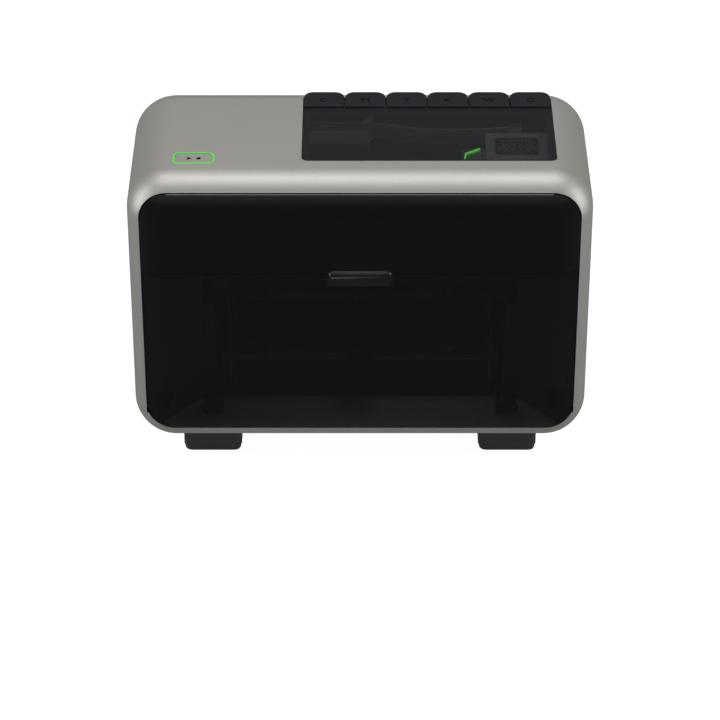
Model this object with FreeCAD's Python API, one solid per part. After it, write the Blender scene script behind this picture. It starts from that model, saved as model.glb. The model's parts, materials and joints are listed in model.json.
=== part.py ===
"""Desktop flatbed UV printer: a pillow-shaped cabinet with a drop-down smoked door, six ink cartridges that
pull up out of the top, and inside it a belt-driven print carriage above a bed that lifts and slides.

Frame: +X right, +Y to the back, +Z up, millimetres. The origin is on the floor, under the cabinet's middle.
Each node is written to parts/NODE.step. Solids that only repeat, such as screws, share a node.
"""
import FreeCAD, Part
import math
import os

V = FreeCAD.Vector
os.makedirs("parts", exist_ok=True)

# ---- cabinet ----
WIDTH = 520.0            # across the cabinet
DEPTH = 245.0            # front to back
SHELL_HEIGHT = 348.0     # cabinet without its feet
FOOT_HEIGHT = 25.0
CORNER_R = 48.0          # cabinet corners, seen from the front
EDGE_R = 44.0            # rounding of the front and back edges
SHELL_WALL = 3.0
PANEL_WALL = 4.0         # door and fascia sheet
FIT_GAP = 0.3            # between pieces that sit beside each other
SEAT_GAP = 0.05          # between curved faces of pieces that are fixed together

# ---- front opening, door and fascia ----
OUTLINE_SIDE = 16.0      # from the cabinet's side to the panel's edge
OUTLINE_TOP = 15.0
OUTLINE_BOTTOM = 27.0
OUTLINE_R = 31.0
PANEL_GAP = 1.2          # reveal between the shell and the panels
SEAM_ABOVE_SHELL = 236.4  # height of the seam over the shell's underside
SEAM_GAP = 0.8
FRAME_INSET = 7.5         # inner face of the frame behind the panels
PIVOT_BACK = 13.0        # door pivot behind the front plane
PIVOT_UP = 20.0          # door pivot above the door's lower edge
HINGE_INSET = 75.0       # from the panel's edge to the hinge
HINGE_ARM_W = 11.0
HINGE_EAR_W = 5.5
HINGE_PIN_R = 2.5
KNUCKLE_R = 5.0
RUN_GAP = 0.05           # radial gap of a shaft in its bore
GRIP_HALF = 35.0
GRIP_UP = 4.2            # finger recess above the seam
GRIP_DOWN = 7.5          # finger recess below the seam

# ---- top window and cartridges ----
WINDOW_WIDTH = 284.4
WINDOW_INSET = 40.6      # from the cabinet's right side
WINDOW_FRONT = 60.0      # from the cabinet's front
WINDOW_REAR = 62.5       # from the cabinet's back
WINDOW_R = 8.0
OPENING_GAP = 0.4        # around the window and the cartridge grips
PORT_DEPTH = 24.0        # opening in the shell behind the window
CARTRIDGES = ["cyan", "magenta", "yellow", "black", "white", "gloss"]
GRIP_GAP = 1.6           # between neighbouring cartridge grips
GRIP_PROUD = 1.5         # grips stand this much over the shell
GRIP_DEPTH = 35.0        # of a cartridge's grip, from the window's back edge
GRIP_CORNER_R = 11.0
TANK_WIDTH = 44.0
TANK_DEPTH = 22.0
TANK_LENGTH = 130.0
TANK_MARGIN = 1.0        # from the window's back edge to the tank
TANK_GAP = 0.4           # around a tank
OUTLET_R = 3.0
TUBES = len(CARTRIDGES)
TUBE_R = 1.5
TUBE_STEP = 3.4
TUBE_SAG = 6.0

# ---- start button ----
BUTTON_INSET = 74.7      # from the cabinet's left side to the button's middle
BUTTON_FRONT = 66.5      # from the cabinet's front
BUTTON_W, BUTTON_D = 41.4, 20.4
BUTTON_R = 4.4
RING_W = 2.2
BUTTON_SUNK = 0.7
BUTTON_TRAVEL = 0.8

# ---- chamber ----
CHAMBER_INSET = 93.0     # from the cabinet's side to the straight side walls
LINER_WALL = 2.0
SLANT_WALL = 2.8         # slanted side walls, measured along X
APRON_UP = 25.0          # the apron over the shell's underside
APRON_DEPTH = 70.5       # from the cabinet's front to the apron's back edge
TROUGH_GAP = 0.9         # from the door's swinging edge to the trough
FLAP_MARGIN = 18.0       # the flap's ends inside the side walls
FLAP_DEPTH = 27.0
FLAP_R = 24.0
NOZZLE_DOWN = 183.0      # nozzles under the cabinet's top

# ---- frame plates ----
PLATE = 2.5
FRAME_SPACE = 28.5       # from the cabinet's side to the side frames
FRAME_DOWN = 43.0        # top edge of the frames under the cabinet's top
REAR_SPACE = 22.5        # from the rear wall to the cabinet's back
UNDER_SPACE = 6.0        # under the base plate

# ---- gantry ----
BEAM_DEPTH = 14.0
BEAM_HEIGHT = 45.0
BEAM_DOWN = 73.0         # top of the beam under the cabinet's top
BEAM_FORWARD = 56.0      # from the rear wall to the beam's front
RAIL_UP = 17.0           # rail over the beam's lower edge
RAIL_HEIGHT = 12.0
RAIL_DEPTH = 8.0
PULLEY_INSET = 21.5      # from the side frame
PULLEY_UP = 18.0         # belt pulleys over the beam
PULLEY_R = 7.3
BELT_INNER_R = 7.5
BELT_T = 1.4
BELT_W = 6.0
BELT_MOTOR = 35.0        # side of the belt motor
SHAFT_R = 2.5
PULLEY_TEETH = 16
TOOTH_R = 0.55
CARRIAGE_INSET = 47.5    # from the side frame to the parked carriage's middle
CARRIAGE_HALF = 41.0
CARRIAGE_DEPTH = 78.0
CARRIAGE_DOWN = 21.0     # its top under the cabinet's top
COVER_WALL = 2.0
HEAD_FROM, HEAD_TO = -17.0, 19.0   # print head's sides from the carriage's middle
HEAD_HEIGHT = 46.0       # from the nozzles to the carriage's shelf
CAMERA_W, CAMERA_D = 68.0, 30.0

# ---- lift and bed ----
SCREW_R = 4.0
POST_INSET = 15.0        # lead screws and guide rods inside the side walls
LIFT_UP = 65.0           # the lift frame over the base plate, at its lowest
LIFT_T = 8.0
LIFT_RIM = 8.0           # width of the lift frame's end members
LIFT_INSET = 6.0         # the lift frame inside the side walls
BED_INSET = 24.0         # the bed inside the side walls
BED_T = 6.0
BED_UP = 17.0            # the bed over the lift frame's underside
BED_TRAVEL = 45.0        # each way
MOTOR_SIDE = 28.0
NUT_R = 9.0
BUSH_R = 7.5
BUSH_LENGTH = 24.0
BEARING_Y0, BEARING_Y1 = 6.0, 34.0
BEARING_HALF = 9.0
BED_GROOVE_STEP = 12.0
BED_GROOVES = 3          # on each side of the middle one

# ---- rear ----
REAR_INSET = 28.0        # from the cabinet's side to the rear panel's edge
REAR_EDGE = 25.0         # from the cabinet's top and underside
REAR_R = 28.0
FAN_BLADES = 7
FAN_PIN_R = 1.5
ROCKER_TILT = 7.0        # degrees
ROCKER_PIN_R = 1.2
BOARD_T = 1.6
SLEEVE_WALL = 2.4        # the cleaning bay round its cartridge
# parts on the main board: x from and to, how far they stand out, z over the board's lower edge from and to
CHIPS = [(-30, 0, 4, 34, 64), (30, 54, 10, 54, 86), (80, 92, 12, 54, 66), (-50, -40, 9, 10, 44)]

# ---- feet and screws ----
FOOT_INSET = 88.5        # from the cabinet's side to a foot's middle
FOOT_W = 67.5
FOOT_DEPTH = 52.5
FOOT_MARGIN = 30.0       # from the cabinet's back to the feet
FOOT_R = 10.0
PAD_T = 5.0
SCREW_SHANK_R = 2.0
SCREW_GAP = 0.2          # radial gap of a screw in a clearance hole
POST_R = 5.0             # posts that the rear panel's screws bite in

# ---- places that follow from the sizes above ----
TOP = FOOT_HEIGHT + SHELL_HEIGHT
FRONT = -DEPTH / 2
BACK = DEPTH / 2
PANEL_HALF = WIDTH / 2 - OUTLINE_SIDE
SEAM = FOOT_HEIGHT + SEAM_ABOVE_SHELL
DOOR_FOOT = FOOT_HEIGHT + OUTLINE_BOTTOM
PIVOT_Y = FRONT + PIVOT_BACK
PIVOT_Z = DOOR_FOOT + PIVOT_UP
HINGE_X = PANEL_HALF - HINGE_INSET
WINDOW_X1 = WIDTH / 2 - WINDOW_INSET
WINDOW_X0 = WINDOW_X1 - WINDOW_WIDTH
WINDOW_Y0 = FRONT + WINDOW_FRONT
WINDOW_Y1 = BACK - WINDOW_REAR
PORT_BACK = WINDOW_Y1 + PORT_DEPTH
GRIP_BACK = WINDOW_Y1 + GRIP_DEPTH
GRIP_PITCH = WINDOW_WIDTH / len(CARTRIDGES)
BUTTON_X = BUTTON_INSET - WIDTH / 2
BUTTON_Y = FRONT + BUTTON_FRONT
BASE_Z = FOOT_HEIGHT + SHELL_WALL + UNDER_SPACE
APRON_TOP = FOOT_HEIGHT + APRON_UP
APRON_BACK = FRONT + APRON_DEPTH
CHAMBER_HALF = WIDTH / 2 - CHAMBER_INSET
FLAP_HALF = CHAMBER_HALF - FLAP_MARGIN
FLAP_FRONT = APRON_BACK - FLAP_DEPTH
NOZZLE_Z = TOP - NOZZLE_DOWN
WALL_TOP = NOZZLE_Z - 12.0       # top of the straight side walls
FRAME_X = WIDTH / 2 - FRAME_SPACE
FRAME_TOP = TOP - FRAME_DOWN
REAR_WALL_Y = BACK - REAR_SPACE
BEAM_Y0 = REAR_WALL_Y - BEAM_FORWARD
BEAM_Y1 = BEAM_Y0 + BEAM_DEPTH
BEAM_Z1 = TOP - BEAM_DOWN
BEAM_Z0 = BEAM_Z1 - BEAM_HEIGHT
RAIL_Z0 = BEAM_Z0 + RAIL_UP
RAIL_Z1 = RAIL_Z0 + RAIL_HEIGHT
PULLEY_X = FRAME_X - PULLEY_INSET
PULLEY_Z = BEAM_Z1 + PULLEY_UP
BELT_Y0 = BEAM_Y0 + 2.0
BELT_Y1 = BELT_Y0 + BELT_W
MOTOR_FACE_Y = BELT_Y1 + 4.2
CARRIAGE_X = FRAME_X - CARRIAGE_INSET
CARRIAGE_Y1 = BEAM_Y0 - 6.0
CARRIAGE_Y0 = CARRIAGE_Y1 - CARRIAGE_DEPTH
CARRIAGE_TOP = TOP - CARRIAGE_DOWN
HEAD_X0, HEAD_X1 = CARRIAGE_X + HEAD_FROM, CARRIAGE_X + HEAD_TO
POST_X = CHAMBER_HALF - POST_INSET
SCREW_Y = REAR_WALL_Y - 22.0
ROD_Y = APRON_BACK + 22.0
LIFT_Z0 = BASE_Z + LIFT_UP
LIFT_Z1 = LIFT_Z0 + LIFT_T
LIFT_HALF = CHAMBER_HALF - LIFT_INSET
LIFT_Y0, LIFT_Y1 = APRON_BACK + 2.0, REAR_WALL_Y - 4.0
BED_HALF = CHAMBER_HALF - BED_INSET
BED_DEPTH = 2 * (REAR_WALL_Y - 10.0 - BED_TRAVEL)
BED_Z0 = LIFT_Z0 + BED_UP
BED_Z1 = BED_Z0 + BED_T
RAIL_ROD_X = BED_HALF - 43.0
RAIL_ROD_Z = LIFT_Z0 + 11.0
BED_AXIS_Z = LIFT_Z0 + 2.0
REAR_HALF = WIDTH / 2 - REAR_INSET
REAR_Z0, REAR_Z1 = FOOT_HEIGHT + REAR_EDGE, TOP - REAR_EDGE
PANEL_SCREWS = [(sx * (REAR_HALF - 18.0), z) for sx in (-1, 1) for z in (REAR_Z0 + 38.0, REAR_Z1 - 30.0)]
FOOT_X = WIDTH / 2 - FOOT_INSET
FOOT_Y0, FOOT_Y1 = BACK - FOOT_MARGIN - FOOT_DEPTH, BACK - FOOT_MARGIN
FOOT_SPOTS = [(sx * FOOT_X, sy * (FOOT_Y0 + FOOT_Y1) / 2) for sx in (-1, 1) for sy in (-1, 1)]
FRAME_SLAB_Z0 = TOP - SHELL_WALL - 5.5
TANK_Y0 = WINDOW_Y1 + TANK_MARGIN + TANK_GAP
TANK_TOP = TOP - SHELL_WALL - 0.1
TANK_BOTTOM = TANK_TOP - TANK_LENGTH
ANCHOR_X = WINDOW_X0 + 75.0
ANCHOR_Z = TOP - 33.0
ANCHOR_Y = BEAM_Y0 + 8.0
PLUG_Y = BEAM_Y0 - 2.0
CARRIAGE_END_X = CARRIAGE_X - 12.0
CAMERA_FRONT = WINDOW_Y0 + 44.5
FAN_X, FAN_Z = 82.0 - REAR_HALF, TOP - 111.0
POWER_Z0 = FOOT_HEIGHT + 95.0
POWER_Z1 = POWER_Z0 + 20.0
INLET_BOX = (18.0 - REAR_HALF, 46.0 - REAR_HALF, POWER_Z0, POWER_Z1)     # x and z of the inlet's hole
SWITCH_BOX = (54.0 - REAR_HALF, 68.0 - REAR_HALF, POWER_Z0, POWER_Z1)
PORTS = [(110.0, POWER_Z0 + 20.0, 14.0, 12.0)]   # x, z, width, height
SUPPLY_Z = BASE_Z + 62.0
CLEAN_X0 = CHAMBER_HALF + 10.0
CLEAN_X1 = CLEAN_X0 + 24.0
CLEAN_Z0, CLEAN_Z1 = BASE_Z + 32.0, NOZZLE_Z - 32.0
CLEAN_Y0 = REAR_WALL_Y - 120.0


# ---------------------------------------------------------------- helpers
def box(x0, x1, y0, y1, z0, z1):
    return Part.makeBox(x1 - x0, y1 - y0, z1 - z0, V(x0, y0, z0))


def rod(radius, start, length, axis):
    return Part.makeCylinder(radius, length, V(*start), V(*axis))


def tube(outer, inner, start, length, axis):
    return rod(outer, start, length, axis).cut(rod(inner, start, length, axis))


def rounded(shape, radius, pick):
    """The shape with the edges that pick accepts rounded."""
    return shape.makeFillet(radius, [e for e in shape.Edges if pick(e)])


def runs_along(edge, axis):
    """True for a straight edge along "X", "Y" or "Z"."""
    if not isinstance(edge.Curve, Part.Line):
        return False
    return abs(abs(getattr(edge.Curve.Direction, axis.lower())) - 1) < 1e-6


def rounded_box(x0, x1, y0, y1, z0, z1, radius, axis="Z"):
    """A box with its four edges along one axis rounded."""
    return rounded(box(x0, x1, y0, y1, z0, z1), radius, lambda e: runs_along(e, axis))


def mirrored(shape):
    return shape.mirror(V(0, 0, 0), V(1, 0, 0))


def both_sides(shape):
    return [shape, mirrored(shape)]


def fuse(*shapes):
    return shapes[0].multiFuse(list(shapes[1:])).removeSplitter()


def cut(shape, *tools):
    for tool in tools:
        shape = shape.cut(tool)
    return shape


def profile_x(points, x0, x1):
    """A prism along X from points (y, z)."""
    ring = [V(x0, y, z) for y, z in points]
    return Part.Face(Part.makePolygon(ring + ring[:1])).extrude(V(x1 - x0, 0, 0))


def profile_z(points, z0, z1):
    """A prism along Z from points (x, y)."""
    ring = [V(x, y, z0) for x, y in points]
    return Part.Face(Part.makePolygon(ring + ring[:1])).extrude(V(0, 0, z1 - z0))


def node(name, *shapes):
    """Writes one sub-part, with each of its solids kept apart."""
    solids = [s for shape in shapes for s in shape.Solids]
    whole = solids[0] if len(solids) == 1 else Part.makeCompound(solids)
    whole.exportStep(os.path.join("parts", name + ".step"))
    print(f"{name}: {len(solids)} solid(s), {sum(s.Volume for s in solids) / 1000:.1f} cm3")


pillows = {}


def pillow(inset):
    """The cabinet's outer form, moved inwards by inset."""
    if inset not in pillows:
        half, deep = WIDTH / 2 - inset, DEPTH / 2 - inset
        body = rounded_box(-half, half, -deep, deep, FOOT_HEIGHT + inset, TOP - inset, CORNER_R - inset, "Y")
        rims = [e for e in body.Edges if abs(abs(e.CenterOfMass.y) - deep) < 1e-6]
        pillows[inset] = body.makeFillet(EDGE_R - inset, rims)
    return pillows[inset].copy()


def front_prism(grow, y0=FRONT - 10, y1=FRONT + 62.5):
    """The front panels' outline, grown by grow, as a prism along Y."""
    half = PANEL_HALF + grow
    return rounded_box(-half, half, y0, y1, DOOR_FOOT - grow, TOP - OUTLINE_TOP + grow, OUTLINE_R + grow, "Y")


def rear_prism(grow):
    return rounded_box(-REAR_HALF - grow, REAR_HALF + grow, BACK - 62.5, BACK + 10,
                       REAR_Z0 - grow, REAR_Z1 + grow, REAR_R + grow, "Y")


def pivot_rod(radius, half=PANEL_HALF + PANEL_GAP):
    """A cylinder on the door's pivot axis."""
    return rod(radius, (-half, PIVOT_Y, PIVOT_Z), 2 * half, (1, 0, 0))


# the door's lower edge swings on this radius, and the trough keeps clear of it
DOOR_EDGE_SETBACK = EDGE_R - math.sqrt(EDGE_R ** 2 - (EDGE_R - OUTLINE_BOTTOM) ** 2)
SWING_R = math.hypot(PIVOT_BACK - DOOR_EDGE_SETBACK, PIVOT_UP)
TROUGH_R = SWING_R + TROUGH_GAP
SWING_CORNER_R = OUTLINE_R + 2.8   # how the swept radius falls off round the door's lower corners
SWING_SIDE_R = 5.0                 # swept radius at the door's sides


def door_swing():
    """What the door's lower edge sweeps, with its clearance: less at the round corners than between them."""
    start = PANEL_HALF - OUTLINE_R
    end = PANEL_HALF + PANEL_GAP

    def radius(x):
        return TROUGH_R - SWING_CORNER_R + math.sqrt(SWING_CORNER_R ** 2 - (x - start) ** 2)

    turn = start + math.sqrt(SWING_CORNER_R ** 2 - (SWING_CORNER_R - TROUGH_R + SWING_SIDE_R) ** 2)
    half_way = (start + turn) / 2

    def at(x, r):
        return V(x, PIVOT_Y, PIVOT_Z + r)

    arc = Part.Arc(at(start, TROUGH_R), at(half_way, radius(half_way)), at(turn, SWING_SIDE_R)).toShape()
    lines = Part.makePolygon([at(turn, SWING_SIDE_R), at(end, SWING_SIDE_R), at(end, 0), at(0, 0),
                              at(0, TROUGH_R), at(start, TROUGH_R)])
    half = Part.Face(Part.Wire([arc, *lines.Edges])).revolve(at(0, 0), V(1, 0, 0), 360)
    return fuse(*both_sides(half))


# ---------------------------------------------------------------- cabinet
def button_block(grow, z0, z1):
    half_w, half_d = BUTTON_W / 2 + grow, BUTTON_D / 2 + grow
    return rounded_box(BUTTON_X - half_w, BUTTON_X + half_w, BUTTON_Y - half_d, BUTTON_Y + half_d,
                       z0, z1, BUTTON_R + grow)


def top_opening(grow, y1):
    """The plan of the window and the cartridge port, rounded at the front."""
    block = box(WINDOW_X0 - grow, WINDOW_X1 + grow, WINDOW_Y0 - grow, y1, TOP - 30, TOP + 10)
    return rounded(block, WINDOW_R, lambda e: runs_along(e, "Z") and e.CenterOfMass.y < 0)


def outer_shell():
    shell = pillow(0).cut(pillow(SHELL_WALL))
    holes = [rod(SCREW_SHANK_R + SCREW_GAP, (x, y, FOOT_HEIGHT - 1), SHELL_WALL + 2, (0, 0, 1))
             for x, y in FOOT_SPOTS]
    shell = cut(shell, front_prism(PANEL_GAP), door_swing(), rear_prism(0.6),
                top_opening(OPENING_GAP, PORT_BACK), button_block(RING_W + 0.1, TOP - 10, TOP + 5), *holes)
    node("outer_shell", shell)


def feet():
    bodies, pads, screws = [], [], []
    for x, y in FOOT_SPOTS:
        x0, x1 = x - FOOT_W / 2, x + FOOT_W / 2
        y0, y1 = y - (FOOT_Y1 - FOOT_Y0) / 2, y + (FOOT_Y1 - FOOT_Y0) / 2
        body = rounded_box(x0, x1, y0, y1, PAD_T, FOOT_HEIGHT + 10, FOOT_R)
        head_seat = rod(4.5, (x, y, 0), PAD_T + 5, (0, 0, 1))
        bore = rod(SCREW_SHANK_R + SCREW_GAP, (x, y, 0), 40, (0, 0, 1))
        body = cut(body, pillow(-SEAT_GAP), bore, head_seat)
        pad = rounded_box(x0 + 1.2, x1 - 1.2, y0 + 1.2, y1 - 1.2, 0, PAD_T, FOOT_R - 1.2)
        bodies.append(body)
        pads.append(pad.cut(head_seat))
        shank = rod(SCREW_SHANK_R, (x, y, PAD_T + 3), BASE_Z - PAD_T - 3, (0, 0, 1))
        screws.append(fuse(rod(3.8, (x, y, PAD_T + 2), 3, (0, 0, 1)), shank))
    node("feet", *bodies, *pads)
    return screws


def rear_panel():
    sheet = pillow(0).cut(pillow(SHELL_WALL)).common(rear_prism(0))
    deep = (BACK - 32.5, BACK + 10)
    slots = []
    for row in range(9):
        z = FAN_Z - 26 + row * 6.5
        half = math.sqrt(29.0 ** 2 - (z - FAN_Z) ** 2)
        slots.append(box(FAN_X - half, FAN_X + half, *deep, z - 1.6, z + 1.6))
    cuts = [box(*INLET_BOX[:2], *deep, *INLET_BOX[2:]), box(*SWITCH_BOX[:2], *deep, *SWITCH_BOX[2:]),
            cleaning_block(FIT_GAP)] + [box(x - w / 2, x + w / 2, *deep, z - h / 2, z + h / 2)
                                        for x, z, w, h in PORTS]
    holes = [rod(SCREW_SHANK_R + SCREW_GAP, (x, BACK - 12.5, z), 20, (0, 1, 0)) for x, z in PANEL_SCREWS]
    sinks = [rod(4.0, (x, BACK - 1.4, z), 10, (0, 1, 0)) for x, z in PANEL_SCREWS]
    node("rear_panel", cut(sheet, *slots, *cuts, *holes, *sinks))
    screws = feet()
    for x, z in PANEL_SCREWS:
        head = rod(3.7, (x, BACK - 1.4, z), 1.2, (0, 1, 0))
        shank = rod(SCREW_SHANK_R, (x, BACK - 12, z), 11, (0, 1, 0))
        screws.append(fuse(head, shank))
    node("case_screws", *screws)


# ---------------------------------------------------------------- front panels and door
def panel_sheet():
    return pillow(0).cut(pillow(PANEL_WALL)).common(front_prism(0))


def grip_notch(sign):
    """The finger recess through the sheet: above the seam for sign 1, below it for sign -1."""
    reach = GRIP_UP if sign > 0 else GRIP_DOWN
    corners = [(-GRIP_HALF, SEAM - sign * 2), (GRIP_HALF, SEAM - sign * 2), (GRIP_HALF, SEAM + sign * 0.8),
               (GRIP_HALF - 4, SEAM + sign * reach), (-GRIP_HALF + 4, SEAM + sign * reach),
               (-GRIP_HALF, SEAM + sign * 0.8)]
    ring = [V(x, FRONT - 5, z) for x, z in corners]
    return Part.Face(Part.makePolygon(ring + ring[:1])).extrude(V(0, 12, 0))


def front_panels():
    sheet = panel_sheet()
    above = box(-WIDTH, WIDTH, FRONT - 10, 0, SEAM + SEAM_GAP / 2, TOP + 10)
    below = box(-WIDTH, WIDTH, FRONT - 10, 0, 0, SEAM - SEAM_GAP / 2)
    node("upper_fascia", sheet.common(above).cut(grip_notch(1)))
    node("front_door", sheet.common(below).cut(grip_notch(-1)))
    # finger cup in two halves, one behind each sheet
    inner = FRONT + PANEL_WALL + 0.1
    back = inner + 14.0
    wall = 1.5
    cup_half = GRIP_HALF + 1
    lower = box(-cup_half, cup_half, inner, back, SEAM - 18, SEAM - SEAM_GAP / 2)
    hollow = box(-cup_half + wall, cup_half - wall, inner + wall, back - wall, SEAM - 18 + wall, SEAM + 5)
    mouth = box(-GRIP_HALF + 2, GRIP_HALF - 2, inner - 5, inner + 5, SEAM - GRIP_DOWN + 0.4, SEAM + 5)
    node("door_pull", cut(lower, hollow, mouth))
    upper = box(-cup_half, cup_half, inner, back, SEAM + SEAM_GAP / 2, SEAM + GRIP_UP + 3)
    hollow = box(-cup_half + wall, cup_half - wall, inner - 5, back - wall, SEAM - 5, SEAM + GRIP_UP)
    node("grip_scoop", upper.cut(hollow))


def front_frame():
    """A ring behind the reveal that carries the fascia and stops the door, with a bar behind the seam."""
    band = pillow(SHELL_WALL + 0.2).cut(pillow(FRAME_INSET))
    band = band.common(front_prism(9, y1=FRONT + 32)).cut(front_prism(-10))
    clear = pillow(-1).cut(pillow(PANEL_WALL + FIT_GAP)).common(front_prism(PANEL_GAP + 0.4))
    half = PANEL_HALF - 8
    inner = FRONT + PANEL_WALL + FIT_GAP
    bar = box(-half, half, inner, inner + 8, SEAM - 8, SEAM + 12).common(pillow(PANEL_WALL + FIT_GAP))
    gap = box(-GRIP_HALF - 1.5, GRIP_HALF + 1.5, inner - 1, inner + 10, SEAM - 30, SEAM + 30)
    frame = fuse(cut(band, clear), cut(bar, gap))
    below = box(-WIDTH, WIDTH, FRONT, 0, 0, PIVOT_Z + 2)
    node("front_frame", cut(frame, pivot_rod(TROUGH_R + 3), below))


def door_hinges():
    gap = FIT_GAP
    x0, x1 = HINGE_X - HINGE_ARM_W / 2, HINGE_X + HINGE_ARM_W / 2
    inner = FRONT + PANEL_WALL + 0.1
    leaf = box(x0, x1, inner, inner + 3.4, PIVOT_Z + 2, PIVOT_Z + 24)
    link = box(x0, x1, inner, PIVOT_Y, PIVOT_Z - 2, PIVOT_Z + 8)
    knuckle = rod(KNUCKLE_R, (x0, PIVOT_Y, PIVOT_Z), HINGE_ARM_W, (1, 0, 0))
    arm = fuse(leaf, link, knuckle).common(pillow(PANEL_WALL + SEAT_GAP))
    arm = arm.cut(pivot_rod(HINGE_PIN_R + RUN_GAP))
    node("hinge_arms", *both_sides(arm))

    def at(points):
        return [(PIVOT_Y + y, PIVOT_Z + z) for y, z in points]

    floor = APRON_TOP - PIVOT_Z
    ear_points = at([(0, -KNUCKLE_R), (20, -KNUCKLE_R), (22, floor + SEAT_GAP), (38, floor + SEAT_GAP),
                     (38, floor + 10), (24, KNUCKLE_R), (0, KNUCKLE_R)])
    ears = []
    for near, far in ((-gap - HINGE_EAR_W, -gap), (HINGE_ARM_W + gap, HINGE_ARM_W + gap + HINGE_EAR_W)):
        ear = fuse(profile_x(ear_points, x0 + near, x0 + far),
                   rod(KNUCKLE_R, (x0 + near, PIVOT_Y, PIVOT_Z), HINGE_EAR_W, (1, 0, 0)))
        ears.append(ear)
    ear0, ear1 = x0 - gap - HINGE_EAR_W, x1 + gap + HINGE_EAR_W
    base_low, base_high = floor + SEAT_GAP, floor + 5
    base = profile_x(at([(23, base_low), (37, base_low), (37, base_high), (23, base_high)]), ear0, ear1)
    bracket = fuse(base, *ears).cut(pivot_rod(HINGE_PIN_R + RUN_GAP))
    pin = fuse(rod(HINGE_PIN_R, (ear0 - 1, PIVOT_Y, PIVOT_Z), ear1 - ear0 + 2, (1, 0, 0)),
               rod(HINGE_PIN_R + 1.2, (ear1 + 0.1, PIVOT_Y, PIVOT_Z), 1.5, (1, 0, 0)),
               rod(HINGE_PIN_R + 1.2, (ear0 - 1.6, PIVOT_Y, PIVOT_Z), 1.5, (1, 0, 0)))
    node("hinge_brackets", *both_sides(bracket), *both_sides(pin))


# ---------------------------------------------------------------- chamber
def chamber():
    half = PANEL_HALF - 1
    outer = TROUGH_R + LINER_WALL
    front_block = box(-half, half, FRONT, PIVOT_Y + outer, 0, PIVOT_Z - 12)
    over_deck = box(-half, half, PIVOT_Y, PIVOT_Y + outer, APRON_TOP, PIVOT_Z)
    trough = cut(pivot_rod(outer, half).common(front_block), pivot_rod(TROUGH_R), over_deck)
    deck = box(-half, half, PIVOT_Y, APRON_BACK, APRON_TOP - LINER_WALL, APRON_TOP)
    lip = box(-half, half, APRON_BACK - LINER_WALL, APRON_BACK, BASE_Z + PLATE + 0.1, APRON_TOP)
    funnel = [(half - 2, FRONT), (CHAMBER_HALF + 14, APRON_BACK), (-CHAMBER_HALF - 14, APRON_BACK),
              (-half + 2, FRONT)]
    apron = fuse(cut(deck, pivot_rod(TROUGH_R)), lip, trough)
    apron = apron.common(pillow(SHELL_WALL + SEAT_GAP))
    flap_seat = flap_block(0.5, APRON_TOP - 1.2, APRON_TOP + 5)
    apron = apron.common(profile_z(funnel, 0, PIVOT_Z)).cut(flap_seat)
    node("apron", apron, flap_block(0, APRON_TOP - 1.15, APRON_TOP))

    # side walls: a slanted front part as tall as the door, then a straight part beside the bed
    t = LINER_WALL
    knee = (CHAMBER_HALF + 14, APRON_BACK)
    start = (half - 1.5, FRONT + 8)
    outside = [(knee[0] + SLANT_WALL, knee[1]), (start[0] + SLANT_WALL, start[1])]
    slant = profile_z([start, knee, *outside], APRON_TOP, SEAM - 9)
    slant = slant.common(pillow(8))
    step = box(CHAMBER_HALF, knee[0] + SLANT_WALL, APRON_BACK, APRON_BACK + t, BASE_Z + PLATE, WALL_TOP)
    straight = box(CHAMBER_HALF, CHAMBER_HALF + t, APRON_BACK, REAR_WALL_Y, BASE_Z + PLATE, WALL_TOP)
    apron_room = box(0, WIDTH, FRONT, APRON_BACK, 0, APRON_TOP + 0.05)
    side = cut(fuse(slant, step, straight), apron_room, pivot_rod(TROUGH_R + 0.4))
    node("chamber_walls", *both_sides(side))


def flap_block(grow, z0, z1):
    block = box(-FLAP_HALF - grow, FLAP_HALF + grow, FLAP_FRONT - grow, APRON_BACK + grow, z0, z1)
    return rounded(block, FLAP_R + grow, lambda e: runs_along(e, "Z") and e.CenterOfMass.y < FLAP_FRONT + 1)


# ---------------------------------------------------------------- frame plates
def frame_plates():
    inside = pillow(SHELL_WALL + 0.3)
    deep = REAR_WALL_Y - 2
    base = box(-FRAME_X - PLATE, FRAME_X + PLATE, -deep, deep, BASE_Z, BASE_Z + PLATE).common(inside)
    pads = [rod(8, (x, y, FOOT_HEIGHT + SHELL_WALL), BASE_Z - FOOT_HEIGHT - SHELL_WALL, (0, 0, 1))
            for x, y in FOOT_SPOTS]
    taps = [rod(SCREW_SHANK_R + SEAT_GAP, (x, y, 0), BASE_Z + PLATE, (0, 0, 1)) for x, y in FOOT_SPOTS]
    node("base_plate", cut(fuse(base, *pads), *taps))
    side = box(FRAME_X, FRAME_X + PLATE, APRON_BACK + 2, REAR_WALL_Y - 0.1, BASE_Z + PLATE, FRAME_TOP)
    node("side_frames", *both_sides(side.common(inside)))
    wall = box(-FRAME_X - PLATE, FRAME_X + PLATE, REAR_WALL_Y, REAR_WALL_Y + 2, BASE_Z + PLATE, FRAME_TOP)
    panel_inner = BACK - SHELL_WALL
    posts = [rod(POST_R, (x, REAR_WALL_Y + 2, z), panel_inner - REAR_WALL_Y - 2.1, (0, 1, 0))
             for x, z in PANEL_SCREWS]
    taps = [rod(SCREW_SHANK_R + SEAT_GAP, (x, REAR_WALL_Y - 10, z), 40, (0, 1, 0)) for x, z in PANEL_SCREWS]
    wall = fuse(wall.common(inside), *[p.common(inside) for p in posts])
    fan_hole = rod(25, (FAN_X, REAR_WALL_Y - 1, FAN_Z), 5, (0, 1, 0))
    inlet = box(INLET_BOX[0] - 2, SWITCH_BOX[1] + 3, REAR_WALL_Y - 10, REAR_WALL_Y + 10,
                INLET_BOX[2] - 2, INLET_BOX[3] + 2)
    node("rear_wall", cut(wall, fan_hole, inlet, cleaning_block(3), *taps))


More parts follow.
